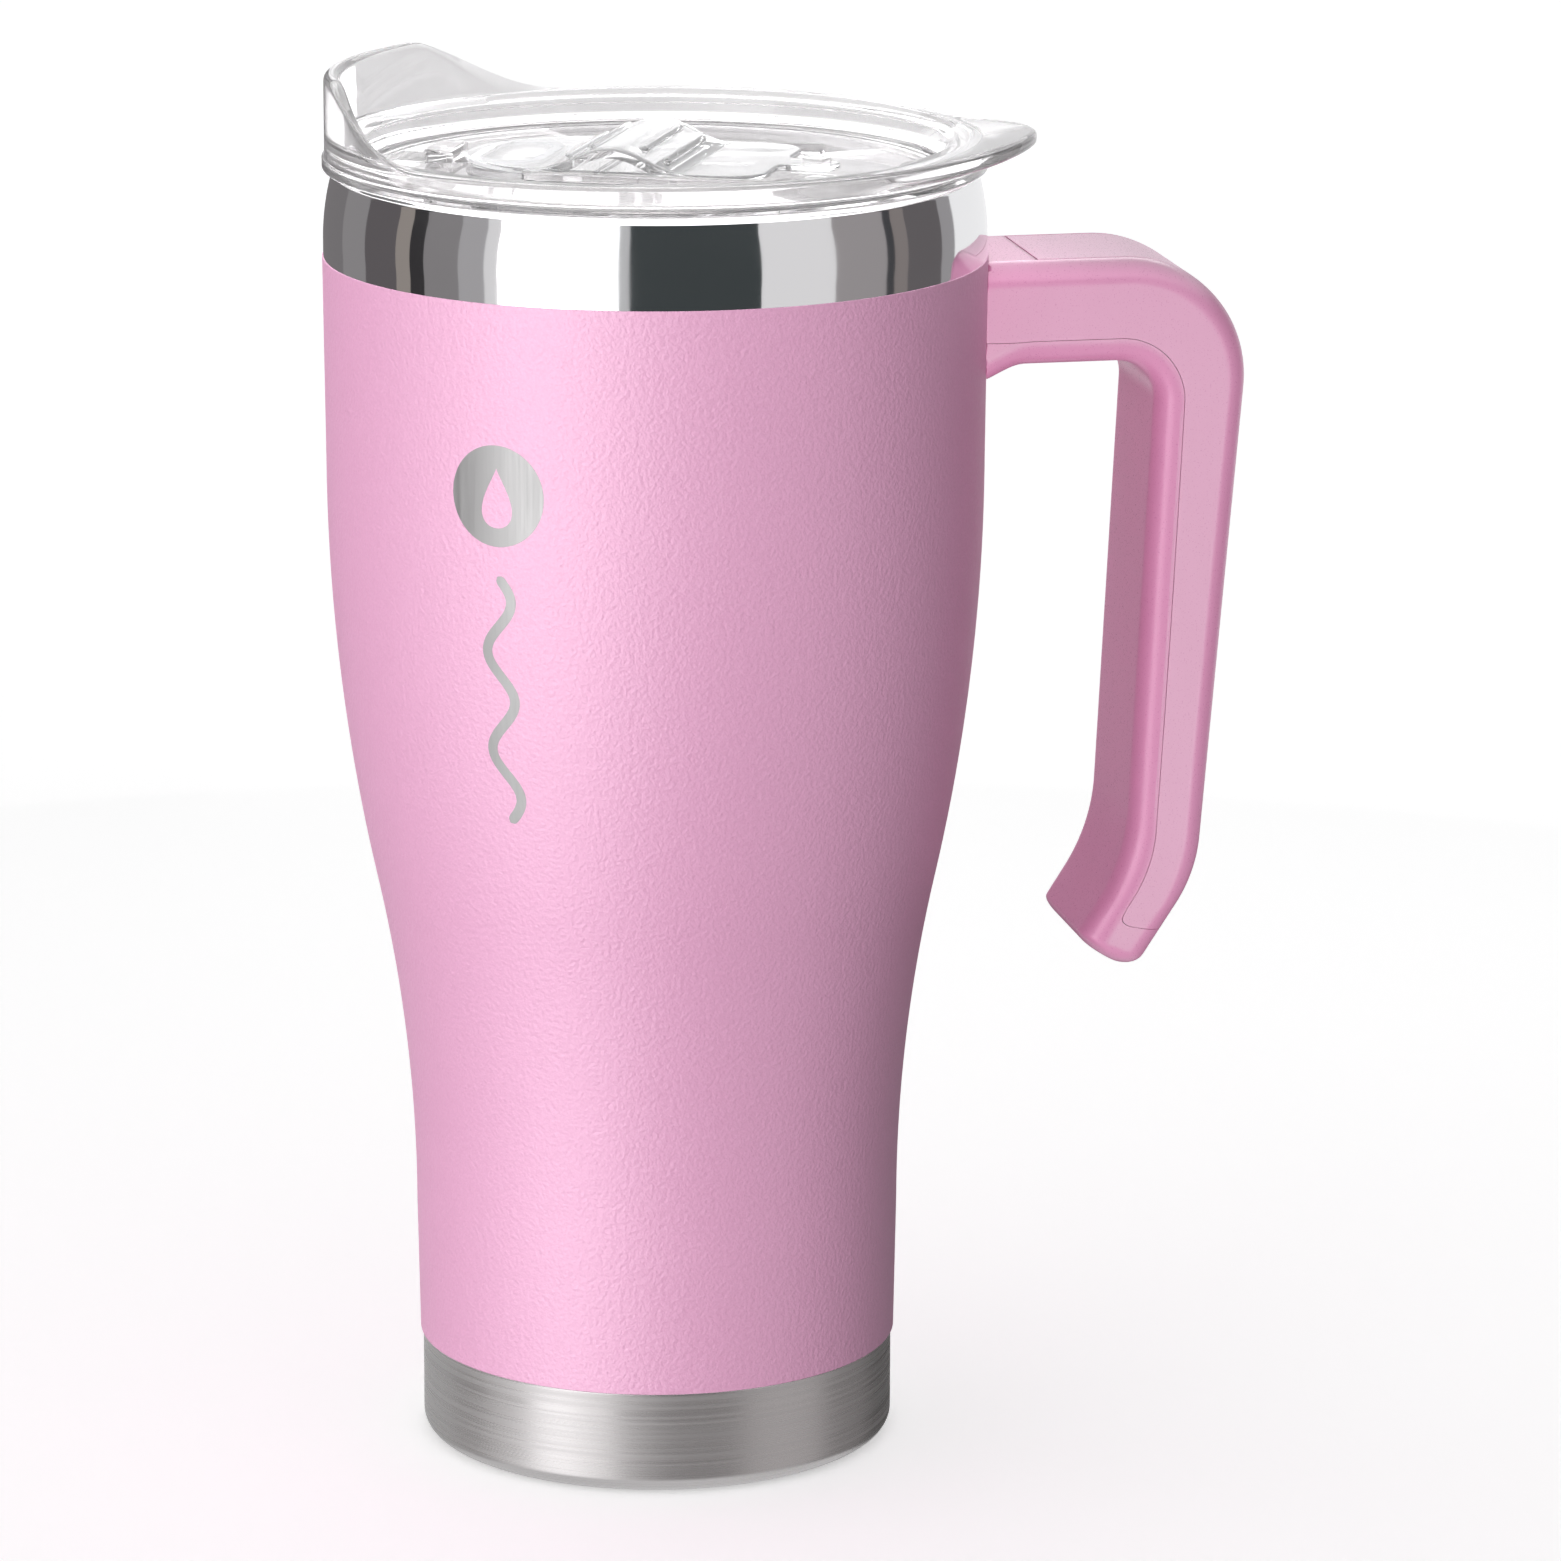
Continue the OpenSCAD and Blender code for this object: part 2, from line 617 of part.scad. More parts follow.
module lid_gasket() {
    in_r = groove_r + 0.06;
    low = groove_low_z + 0.1;
    high = groove_high_z - 0.1;
    color("whitesmoke") spin_profile([
        [in_r, low], [in_r + 0.9, low], [mouth_r - 0.1, low + 0.5], [mouth_r - 0.1, low + 0.9],
        [in_r + 0.8, low + 1.6], [in_r + 0.8, high - 1.9], [mouth_r - 0.1, high - 1.2],
        [mouth_r - 0.1, high - 0.8], [in_r + 0.9, high], [in_r, high]]);
}

plate_low_z = well_floor_z + 0.6;
plate_t = 1;
nose_r = 16.5;
nose_u = -12.6;
heel_u = 20;
heel_corner_r = 6;
arch_u0 = -14.5;
arch_u1 = 8.4;
arch_t = 1.6;
arch_z = 203.8;
stem_w = 5.8;
stem_len = 5.6;
clip_top_z = well_floor_z - lid_floor_t - 0.3;
clip_t = 1.6;
clip_w = 13;
seal_groove = 0.2;

// Top height of the arch at u: a raised cosine between its two feet.
function arch_top(u) =
    let (mid = (arch_u0 + arch_u1) / 2, half = (arch_u1 - arch_u0) / 2)
    between(plate_low_z + plate_t, arch_z, (1 + cos(180 * (u - mid) / half)) / 2);

module slider_plan() {
    translate([nose_u, 0]) circle(r = nose_r);
    translate([nose_u, -nose_r]) square([heel_u - heel_corner_r - nose_u, 2 * nose_r]);
    translate([heel_u - heel_corner_r - 1, -nose_r + heel_corner_r])
        square([heel_corner_r + 1, 2 * (nose_r - heel_corner_r)]);
    for (side = [-1, 1])
        translate([heel_u - heel_corner_r, side * (nose_r - heel_corner_r)])
            circle(r = heel_corner_r);
    translate([heel_u - 1, -3.5]) square([6, 7]);
    translate([heel_u + 5, 0]) circle(r = 3.5);
}

module slider() {
    plate_top = plate_low_z + plate_t;
    rib_len = 24;
    steps = 24;
    crest = [for (i = [0:steps]) let (u = between(arch_u0, arch_u1, i / steps)) [u, arch_top(u)]];
    under = [for (i = [steps - 3:-1:3]) crest[i] - [0, arch_t]];
    color("#eef2f4") lid_frame() difference() {
        union() {
            translate([0, 0, plate_low_z]) linear_extrude(plate_t) slider_plan();
            rotate([90, 0, 0]) translate([0, 0, -nose_r]) linear_extrude(2 * nose_r)
                polygon(concat(crest, [[arch_u1, plate_top - 0.4], [crest[steps - 3][0], plate_top - 0.4]],
                               under, [[crest[3][0], plate_top - 0.4], [arch_u0, plate_top - 0.4]]));
            for (u = [-10.5, -7, 1, 4.5])
                translate([u, rib_len / 2, arch_top(u)]) rotate([90, 0, 0])
                    cylinder(r = 0.7, h = rib_len, $fn = 24);
            translate([heel_u + 5, 0, plate_top - 0.5]) cylinder(r = 2.2, h = 1.5);
            translate([-stem_len / 2, -stem_w / 2, clip_top_z - clip_t])
                cube([stem_len, stem_w, plate_low_z - clip_top_z + clip_t + eps]);
        }
        translate([hole_u, 0, plate_low_z - 1]) linear_extrude(1 + seal_groove) difference() {
            pill(hole_half_w + 2.6, hole_half_len + 2.6);
            pill(hole_half_w + 1, hole_half_len + 1);
        }
    }
}

module slider_seal() {
    low = well_floor_z + 0.2;
    color("whitesmoke") lid_frame() translate([hole_u, 0, low])
        linear_extrude(plate_low_z + seal_groove - low) difference() {
            pill(hole_half_w + 2.6, hole_half_len + 2.6);
            pill(hole_half_w + 1, hole_half_len + 1);
        }
}

module slider_retainer() {
    color("#dfe5e8") lid_frame() translate([0, 0, clip_top_z - clip_t]) difference() {
        translate([-clip_w / 2, -clip_w / 2, 0]) cube([clip_w, clip_w, clip_t]);
        translate([-stem_len / 2, -stem_w / 2, -1]) cube([stem_len, stem_w, clip_t + 2]);
    }
}

inner_liner();
outer_wall();
base_cup();
bottom_cover();
vacuum_plug();
getter();
getter_clip();
radiation_foil();
powder_coat();
handle_bracket();
bracket_screws();
handle_inner_shell();
handle_outer_shell();
shell_screws();
handle_cover();
lid_gasket();
lid_body();
slider();
slider_seal();
slider_retainer();
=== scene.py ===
import bmesh
import bpy
import numpy as np
from mathutils import Matrix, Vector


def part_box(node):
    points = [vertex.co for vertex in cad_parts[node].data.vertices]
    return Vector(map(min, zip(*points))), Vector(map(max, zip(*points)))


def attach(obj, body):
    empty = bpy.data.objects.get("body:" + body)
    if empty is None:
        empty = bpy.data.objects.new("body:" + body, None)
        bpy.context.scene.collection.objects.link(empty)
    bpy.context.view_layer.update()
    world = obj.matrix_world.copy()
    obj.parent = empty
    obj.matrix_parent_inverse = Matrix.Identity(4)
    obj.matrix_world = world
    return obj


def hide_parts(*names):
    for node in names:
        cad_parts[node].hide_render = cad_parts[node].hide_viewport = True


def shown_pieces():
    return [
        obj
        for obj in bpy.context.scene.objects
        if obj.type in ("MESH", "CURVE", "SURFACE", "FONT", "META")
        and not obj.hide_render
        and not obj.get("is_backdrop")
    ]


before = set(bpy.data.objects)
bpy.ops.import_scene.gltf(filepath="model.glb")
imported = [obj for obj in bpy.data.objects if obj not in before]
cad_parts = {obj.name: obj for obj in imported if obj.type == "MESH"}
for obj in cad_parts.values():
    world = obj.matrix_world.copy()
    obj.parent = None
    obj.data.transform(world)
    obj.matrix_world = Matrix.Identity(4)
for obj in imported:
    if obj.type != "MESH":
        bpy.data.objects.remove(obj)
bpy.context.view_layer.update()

MM = 0.001


# ---- Inner vessel ----
# The inner vessel is deep drawn from one thin stainless sheet, electropolished to a satin
# finish, and welded to the outer wall only at the lip, so nothing else carries heat across.
def corner_box(node):
    """Lowest and highest corner of a CAD node, in millimetres."""
    low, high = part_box(node)
    return np.array(low) / MM, np.array(high) / MM


band_z = corner_box("powder_coat")[1][2]
lip_z = corner_box("outer_wall")[1][2]
mouth_r, lip_r = 46.3, 1.05
liner_t = 0.6
coat_t = 0.15
vacuum_gap = 4.4
drink_floor_z = corner_box("inner_liner")[0][2] + liner_t

shoulder_r, shoulder_z = 50.1, 154.0
waist_z = 89.0
grip_r, grip_z = 37.35, 37.0
shoulder_draft, grip_draft = 0.009, 0.018
waist_turn = 2 * np.arctan((shoulder_r - grip_r) / (shoulder_z - grip_z))
upper_arc_r = (shoulder_z - waist_z) / np.sin(waist_turn)
lower_arc_r = (waist_z - grip_z) / np.sin(waist_turn)


def body_r(z):
    """Outside radius at height z: a draft line, a concave arc, a tangent convex arc, a draft line."""
    z = np.minimum(np.asarray(z, float), band_z)
    convex = shoulder_r - upper_arc_r + np.sqrt(
        np.maximum(upper_arc_r**2 - (shoulder_z - z) ** 2, 0))
    concave = grip_r + lower_arc_r - np.sqrt(np.maximum(lower_arc_r**2 - (z - grip_z) ** 2, 0))
    return np.select(
        [z >= shoulder_z, z >= waist_z, z >= grip_z],
        [shoulder_r + (z - shoulder_z) * shoulder_draft, convex, concave],
        grip_r - (grip_z - z) * grip_draft)


def soften(corners, trims, steps=5, closed=True):
    """Turns each corner into a circular arc that starts and ends the trim length away from it.
    The arc is the rational quadratic through both trim points, weighted by the sine of half the
    corner's angle. A corner may be one point or one point per column; trims stay inside the sides."""
    width = max(np.atleast_2d(c).shape[0] for c in corners)
    c = np.stack([np.broadcast_to(np.atleast_2d(p), (width, 2)) for p in corners]).astype(float)
    to_last, to_next = np.roll(c, 1, 0) - c, np.roll(c, -1, 0) - c
    tiny, most_of_side = 1e-9, 0.48
    len_last = np.linalg.norm(to_last, axis=-1)[..., None] + tiny
    len_next = np.linalg.norm(to_next, axis=-1)[..., None] + tiny
    trim = np.minimum(np.asarray(trims, float)[:, None, None],
                      most_of_side * np.minimum(len_last, len_next))
    a, b = to_last / len_last, to_next / len_next
    weight = np.sqrt(np.clip((1 - (a * b).sum(-1, keepdims=True)) / 2, 0, 1))
    start, corner, end, weight = (v[:, None] for v in (c + a * trim, c, c + b * trim, weight))
    t = np.linspace(0, 1, steps + 1)[None, :, None, None]
    pull = 2 * t * (1 - t) * weight
    arcs = (1 - t) ** 2 * start + pull * corner + t**2 * end
    arcs /= (1 - t) ** 2 + pull + t**2
    sharp = np.asarray(trims) == 0
    if not closed:
        sharp[[0, -1]] = True
    arcs[sharp] = corner[sharp]
    kept = np.ones(arcs.shape[:2], bool)
    kept[sharp, 1:] = False
    return arcs[kept]


def skin(name, points, rows_close=False, cols_close=False, caps=False, sharp=40):
    """A mesh through a grid of points, rows x columns x 3 in millimetres: one quad to each cell.
    Points that meet, as at a pole, are merged, and the faces are turned outwards."""
    rows, cols = points.shape[:2]
    r = np.arange(rows if rows_close else rows - 1)[:, None]
    k = np.arange(cols if cols_close else cols - 1)[None, :]
    near, far = (k % cols), (k + 1) % cols
    below, above = r * cols, ((r + 1) % rows) * cols
    quads = np.stack(np.broadcast_arrays(below + near, below + far, above + far, above + near), -1)
    faces = quads.reshape(-1, 4).tolist()
    if caps:
        faces += [list(range(cols)), list(range((rows - 1) * cols, rows * cols))]
    mesh = bpy.data.meshes.new(name)
    mesh.from_pydata((points.reshape(-1, 3) * MM).tolist(), [], faces)
    tidy = bmesh.new()
    tidy.from_mesh(mesh)
    bmesh.ops.remove_doubles(tidy, verts=tidy.verts, dist=1e-7)
    bmesh.ops.recalc_face_normals(tidy, faces=tidy.faces)
    tidy.to_mesh(mesh)
    tidy.free()
    piece = bpy.data.objects.new(name, mesh)
    bpy.context.scene.collection.objects.link(piece)
    shade(piece, sharp)
    return piece


def shade(piece, sharp=40):
    """Smooth shading with crisp edges above an angle, and normals that keep flat faces flat."""
    piece.data.shade_smooth()
    piece.data.set_sharp_from_angle(angle=np.radians(sharp))
    if not piece.modifiers:
        piece.modifiers.new("even_normals", "WEIGHTED_NORMAL").keep_sharp = True


def turned(name, profile, steps=192, closed=True):
    """A body of revolution about Z: the profile's radius and height carried round the circle.
    The profile may have one column, or one column for each of the circle's steps."""
    profile = profile if profile.ndim == 3 else profile[:, None]
    count = steps if profile.shape[1] == 1 else profile.shape[1]
    angle = np.linspace(0, 2 * np.pi, count, endpoint=False)[None, :]
    radius = np.broadcast_to(profile[..., 0], (len(profile), count))
    height = np.broadcast_to(profile[..., 1], (len(profile), count))
    points = np.stack([radius * np.cos(angle), radius * np.sin(angle), height], -1)
    return skin(name, points, rows_close=closed, cols_close=True)


def outline_between(low, high, inset, count=90):
    """The body's outline from one height to another, moved inwards."""
    z = np.linspace(low, high, count)
    return np.stack([body_r(z) - inset, z], -1)


def put_on(piece, body, slot, material, *nodes):
    """Finishes a piece: its material, the body it moves with and the nodes it stands for. The slot is
    not used.
    """
    piece.data.materials.clear()
    piece.data.materials.append(material)
    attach(piece, body)
    if nodes:
        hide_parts(*nodes)


def add(tree, kind, inputs=None, **settings):
    """One shader node with its settings; an input is a value or another node's output."""
    made = tree.nodes.new("ShaderNode" + kind)
    for key, value in settings.items():
        setattr(made, key, value)
    for key, value in (inputs or {}).items():
        if isinstance(value, bpy.types.NodeSocket):
            tree.links.new(value, made.inputs[key])
        else:
            made.inputs[key].default_value = value
    return made


def finish_of(name, colour, roughness, **sockets):
    """A material whose constant values sit on the Principled shader's own sockets."""
    material = bpy.data.materials.new(name)
    material.use_nodes = True
    tree = material.node_tree
    shader = tree.nodes["Principled BSDF"]
    shader.inputs["Base Color"].default_value = (*colour, 1)
    shader.inputs["Roughness"].default_value = roughness
    for key, value in sockets.items():
        shader.inputs[key.replace("_", " ")].default_value = value
    return material, tree, shader


def grain(tree, stretch, scale, detail=3):
    """Noise on object coordinates, drawn out along the axes where stretch is small."""
    place = add(tree, "TexCoord")
    spread = add(tree, "Mapping", {"Vector": place.outputs["Object"], "Scale": stretch})
    return add(tree, "TexNoise", {
        "Vector": spread.outputs["Vector"], "Scale": scale, "Detail": detail})


def vary_roughness(tree, shader, noise, low, high):
    """Roughness that runs between two values with the noise."""
    spread = add(tree, "MapRange", {
        "Value": noise.outputs["Fac"], "From Min": 0.3, "From Max": 0.7,
        "To Min": low, "To Max": high})
    tree.links.new(spread.outputs["Result"], shader.inputs["Roughness"])


def vary_colour(tree, shader, noise, first, second):
    """Base colour that runs between two close tones with the noise."""
    tones = add(tree, "ValToRGB", {"Fac": noise.outputs["Fac"]})
    tones.color_ramp.elements[0].position = 0.3
    tones.color_ramp.elements[0].color = (*first, 1)
    tones.color_ramp.elements[1].position = 0.7
    tones.color_ramp.elements[1].color = (*second, 1)
    tree.links.new(tones.outputs["Color"], shader.inputs["Base Color"])


def relief(tree, shader, noise, strength, depth):
    """Surface relief from the noise: strength 0 to 1, depth in metres."""
    bump = add(tree, "Bump", {
        "Height": noise.outputs["Fac"], "Strength": strength, "Distance": depth})
    tree.links.new(bump.outputs["Normal"], shader.inputs["Normal"])


def brushed(name, colour, rough, streak=2600, along=14):
    """Steel brushed round its axis: streaks long in plan and fine in height, with a drawn-out gloss."""
    material, tree, shader = finish_of(
        name, colour, rough, Metallic=1.0, Anisotropic=0.7)
    lines = grain(tree, (along / streak, along / streak, 1), streak, 4)
    vary_roughness(tree, shader, lines, rough - 0.06, rough + 0.08)
    relief(tree, shader, lines, 0.35, 0.00003)
    around = add(tree, "Tangent", direction_type="RADIAL", axis="Z")
    tree.links.new(around.outputs["Tangent"], shader.inputs["Tangent"])
    return material


satin_steel = brushed("satin_liner_steel", (0.92, 0.91, 0.905), 0.2, streak=1500)
inner_step = coat_t + vacuum_gap + liner_t
floor_corner_r = 9
neck_low_z, neck_high_z, neck_r = 176, 187, 2
side_low_z, side_count = drink_floor_z + floor_corner_r + 2, 60
inner_base_r = float(body_r(drink_floor_z + floor_corner_r)) - inner_step
liner_inside = soften([
    (0, drink_floor_z), (inner_base_r, drink_floor_z),
    *outline_between(side_low_z, neck_low_z, inner_step, side_count),
    (mouth_r, neck_high_z), (mouth_r, lip_z - lip_r)],
    [0, floor_corner_r] + [0] * side_count + [neck_r, 0], 12, closed=False)[:, 0]
liner_outside = soften([
    (mouth_r + liner_t, lip_z - lip_r), (mouth_r + liner_t, neck_high_z + liner_t / 2),
    *outline_between(side_low_z, neck_low_z, inner_step - liner_t, side_count)[::-1],
    (inner_base_r + liner_t, drink_floor_z - liner_t), (0, drink_floor_z - liner_t)],
    [0, neck_r] + [0] * side_count + [floor_corner_r + liner_t, 0], 12, closed=False)[:, 0]
inner_vessel = turned("inner_vessel", np.concatenate([liner_inside, liner_outside]), closed=False)
put_on(inner_vessel, "cup", "liner_steel", satin_steel, "inner_liner")


# ---- Outer wall ----
# The outer wall is spun from stainless tube. Its top band is left bare and mirror polished, drawn
# in a little and rolled over to a round lip, where it is welded to the inner vessel.
polished, tree, shader = finish_of(
    "mirror_polished_steel", (0.86, 0.86, 0.865), 0.05, Metallic=1.0)
haze = grain(tree, (1, 1, 1), 60)
vary_roughness(tree, shader, haze, 0.03, 0.075)
relief(tree, shader, grain(tree, (1, 1, 0.15), 25, 1), 0.25, 0.0001)

wall_t = 0.8
foot_z = corner_box("powder_coat")[0][2]
rim_r = float(body_r(band_z)) - coat_t
draw_z, draw_arc_r = 188.0, 37.0
weld_z, weld_w = lip_z - 3.2, 1.1


def bare_r(z):
    """Radius of the bare band: straight, then an arc that draws in towards the lip."""
    rise = np.maximum(np.asarray(z, float) - draw_z, 0)
    return rim_r - (draw_arc_r - np.sqrt(draw_arc_r**2 - rise**2))


band_heights = np.linspace(band_z, lip_z - lip_r - 1, 24)
lip_turn = np.radians(np.linspace(0, 180, 17))
lip_centre = np.array([mouth_r + liner_t + lip_r, lip_z - lip_r])
wall_profile = np.concatenate([
    outline_between(foot_z, band_z, coat_t),
    np.stack([bare_r(band_heights), band_heights], -1)[1:],
    lip_centre + lip_r * np.stack([np.cos(lip_turn), np.sin(lip_turn)], -1),
    [(mouth_r + liner_t, weld_z), (mouth_r + liner_t + weld_w, weld_z - 0.2)],
    np.stack([bare_r(band_heights) - wall_t, band_heights], -1)[-3::-1],
    outline_between(foot_z, band_z - 1, coat_t + wall_t)[::-1]])
outer_shell = turned("outer_wall_polished", wall_profile, 256)
put_on(outer_shell, "cup", "polished_steel", polished, "outer_wall")


# ---- Foot ----
# The foot is a pressed steel cup pushed up inside the outer wall and welded. Its outside is
# brushed round the axis, and it stands on a narrow rolled ring.
foot_steel = brushed("brushed_foot_steel", (0.62, 0.60, 0.60), 0.27)
foot_r, heel_round = 36.55, 3.5
recess_r, recess_z, ring_in_r = 29, 3, 31
collar_out_r, collar_in_r, collar_h = 36.0, 35.4, 3
hairline = 0.05
foot_corners = [
    ((0, recess_z), 0), ((recess_r, recess_z), 1), ((ring_in_r, 0), 1), ((foot_r, 0), heel_round),
    ((foot_r, foot_z - hairline), 0.35), ((collar_out_r, foot_z - hairline), 0.05),
    ((collar_out_r, foot_z + collar_h), 0.1), ((collar_in_r, foot_z + collar_h), 0.1),
    ((collar_in_r, foot_z - 1.5), 0.3), ((foot_r - wall_t, foot_z - 2.5), 0.3),
    ((foot_r - wall_t, wall_t), heel_round - wall_t), ((ring_in_r + 0.5, wall_t), 0.5),
    ((recess_r + 0.4, recess_z + wall_t), 0.5), ((0, recess_z + wall_t), 0)]
foot_profile = soften(
    [c for c, _ in foot_corners], [r for _, r in foot_corners], 8, closed=False)[:, 0]
foot = turned("foot_brushed", foot_profile, 256, closed=False)
put_on(foot, "cup", "brushed_steel", foot_steel, "base_cup")


# ---- Vacuum fittings ----
# The evacuation hole is closed by fused solder glass under a thin glued disc. A getter in a
# spring clip and a wrapped copper foil sit in the evacuated space, out of sight.
def dress(node, material):
    """Gives a CAD node that stays as it is a material of this script."""
    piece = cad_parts[node]
    piece.data.materials.clear()
    piece.data.materials.append(material)


disc_steel = brushed("brushed_disc_steel", (0.55, 0.54, 0.54), 0.3, streak=1800, along=1800)
dress("bottom_cover", disc_steel)

solder_glass, tree, shader = finish_of("fused_solder_glass", (0.03, 0.035, 0.04), 0.12)
relief(tree, shader, grain(tree, (1, 1, 1), 900), 0.3, 0.0002)
dress("vacuum_plug", solder_glass)

sintered, tree, shader = finish_of("sintered_getter", (0.06, 0.06, 0.065), 0.8, Metallic=0.4)
pores = grain(tree, (1, 1, 1), 3500)
vary_colour(tree, shader, pores, (0.04, 0.04, 0.045), (0.1, 0.1, 0.105))
relief(tree, shader, pores, 0.8, 0.0002)
dress("getter", sintered)

spring_steel = brushed("rolled_spring_steel", (0.5, 0.5, 0.51), 0.35, streak=1200)
dress("getter_clip", spring_steel)

foil, tree, shader = finish_of("crinkled_copper_foil", (0.78, 0.42, 0.28), 0.22, Metallic=1.0)
creases = add(tree, "TexVoronoi", {
    "Vector": add(tree, "TexCoord").outputs["Object"], "Scale": 260.0},
    feature="DISTANCE_TO_EDGE")
bump = add(tree, "Bump", {
    "Height": creases.outputs["Distance"], "Strength": 0.6, "Distance": 0.0004})
tree.links.new(bump.outputs["Normal"], shader.inputs["Normal"])
dress("radiation_foil", foil)


# ---- Powder coat ----
# The body is powder coated and baked: a thin pink skin with a fine orange peel, slightly uneven
# in tone, ending in a soft edge above the foot and below the polished band.
coat_pink, tree, shader = finish_of(
    "pink_powder_coat", (0.81, 0.375, 0.60), 0.5, Specular_IOR_Level=1.0)
peel = grain(tree, (1, 1, 1), 1500, 2)
vary_colour(tree, shader, grain(tree, (1, 1, 1), 2600, 2),
            (0.79, 0.355, 0.58), (0.83, 0.395, 0.62))
vary_roughness(tree, shader, peel, 0.45, 0.56)
relief(tree, shader, peel, 0.75, 0.0002)

coat_count, coat_edge = 160, 0.1
coat_outside = outline_between(foot_z, band_z, 0, coat_count)
coat_profile = np.concatenate([
    soften([coat_outside[0] - (coat_t, 0), *coat_outside, coat_outside[-1] - (coat_t, 0)],
           [0, coat_edge] + [0] * (coat_count - 2) + [coat_edge, 0], 4, closed=False)[:, 0],
    outline_between(foot_z, band_z, coat_t, coat_count)[::-1][1:-1]])
coat = turned("powder_coat_skin", coat_profile, 256)
put_on(coat, "cup", "pink_powder_coat", coat_pink, "powder_coat")


# ---- Emblem ----
# A laser takes the coat off down to bright steel: a round badge with a water drop left in it, and
# a wavy ribbon running down under it.
emblem_azimuth = np.radians(-128.5)
badge_z, badge_r = 157.0, 7.6
drop_r, drop_stretch, drop_sink = 3.6, 1.25, 0.3
etch_proud, etch_t = 0.02, 0.05


def wrapped(side, height, proud):
    """Points on the body at a distance to the side of the emblem's middle and at a height."""
    radius = body_r(height) + proud
    angle = emblem_azimuth + side / radius
    return np.stack([radius * np.cos(angle), radius * np.sin(angle), height], -1)


def etched(name, side, height, cols_close):
    """A patch of bare steel on the body, as thin as the coat: its face, its back and its edges."""
    face = wrapped(side, height, etch_proud)
    back = wrapped(side, height, etch_proud - etch_t)
    if cols_close:
        return skin(name, np.concatenate([face, back[::-1]]), rows_close=True, cols_close=True)
    loop = np.concatenate([face, back[:, ::-1]], 1)
    return skin(name, loop, cols_close=True, caps=True)


etched_steel, tree, shader = finish_of(
    "laser_etched_steel", (0.40, 0.397, 0.397), 0.42, Metallic=1.0)
strokes = grain(tree, (1, 1, 0.03), 2200)
vary_roughness(tree, shader, strokes, 0.34, 0.5)
relief(tree, shader, strokes, 0.3, 0.00003)

# The drop's edge is a tall ellipse whose width is scaled by sin(t/2) to the power 1.5, which
# pinches its top to a point. The badge runs from that edge straight out to a true circle.
t = np.linspace(0, 2 * np.pi, 128, endpoint=False)[None, :]
reach = np.linspace(0, 1, 14)[:, None]
drop_side = drop_r * np.sin(t) * np.sin(t / 2) ** 1.5
drop_height = drop_stretch * drop_r * np.cos(t) - drop_sink
badge_side = (1 - reach) * drop_side + reach * badge_r * np.sin(t)
badge_height = badge_z + (1 - reach) * drop_height + reach * badge_r * np.cos(t)
badge = etched("emblem_badge", badge_side, badge_height, True)
put_on(badge, "cup", "brushed_steel", etched_steel)

# The ribbon's middle line is a sine wave running down; its half width follows a quarter circle
# to nothing at both ends.
ribbon_len, ribbon_swing, ribbon_w, ribbon_waves = 38.0, 2.1, 1.6, 2.5
ribbon_gap = 4.5
s = np.linspace(0, 1, 160)
mid_side = ribbon_swing * np.sin(2 * np.pi * ribbon_waves * s)
mid_height = badge_z - badge_r - ribbon_gap - ribbon_len * s
heading = np.stack([np.gradient(mid_side), np.gradient(mid_height)], -1)
heading /= np.linalg.norm(heading, axis=1)[:, None]
from_end = np.minimum(s, 1 - s) * ribbon_len
round_end = np.sqrt(np.clip(1 - (1 - np.minimum(from_end / (ribbon_w / 2), 1)) ** 2, 0.02, 1))
across = np.linspace(-1, 1, 5)[None, :] * (ribbon_w / 2 * round_end)[:, None]
ribbon = etched("emblem_ribbon", mid_side[:, None] - heading[:, 1:] * across,
                mid_height[:, None] + heading[:, :1] * across, False)
put_on(ribbon, "cup", "brushed_steel", etched_steel)


# ---- Handle bracket ----
# A steel saddle is spot welded to the wall, and its tongue reaches into the handle's arm. Two
# zinc-plated screws hold the arm to it under the cover strip.
zinc_steel, tree, shader = finish_of("zinc_plated_steel", (0.62, 0.63, 0.64), 0.32, Metallic=1.0)
spangle = grain(tree, (1, 1, 1), 700, 4)
vary_roughness(tree, shader, spangle, 0.22, 0.45)
relief(tree, shader, spangle, 0.2, 0.00005)
for node in ("handle_bracket", "bracket_screws", "shell_screws"):
    dress(node, zinc_steel)


# ---- Handle shells ----
# The handle is two hollow mouldings screwed together: the outer one takes the arm, the bend and
# the sides, and the inner one the finger side and the tip. A hairline shows where they meet.
handle_reach, half_w, handle_top_z = corner_box("handle_outer_shell")[1]
arm_depth, arm_count = 16.0, 30
bend_r, crook_r, crook_x = 19.0, 6.0, 69.3
lean_out, lean_in, tip_turn = np.radians((4.7, 2.8, 33.0))
tip_arc_out_r, tip_arc_in_r = 22.0, 30.0
tip_arc_out_z, tip_arc_in_z = 93.0, 98.0
tip_out_len, tip_in_len = 13.0, 6.55
root_x, root_flare, root_flare_len = 46.0, 3.0, 9.0
shell_t, seam_depth, seam_wrap, seam_round = 2.2, 4.0, 8.2, 2.2
hairline_gap, past_side, past_face = 0.08, 3, 4
strip_half, strip_t, strip_gap = 10.9, 1.2, 0.28
strip_start_x, strip_end_z = 56.7, 101.0


def smooth(t):
    """The smooth step 3t^2 - 2t^3 between 0 and 1."""
    t = np.clip(t, 0, 1)
    return t * t * (3 - 2 * t)


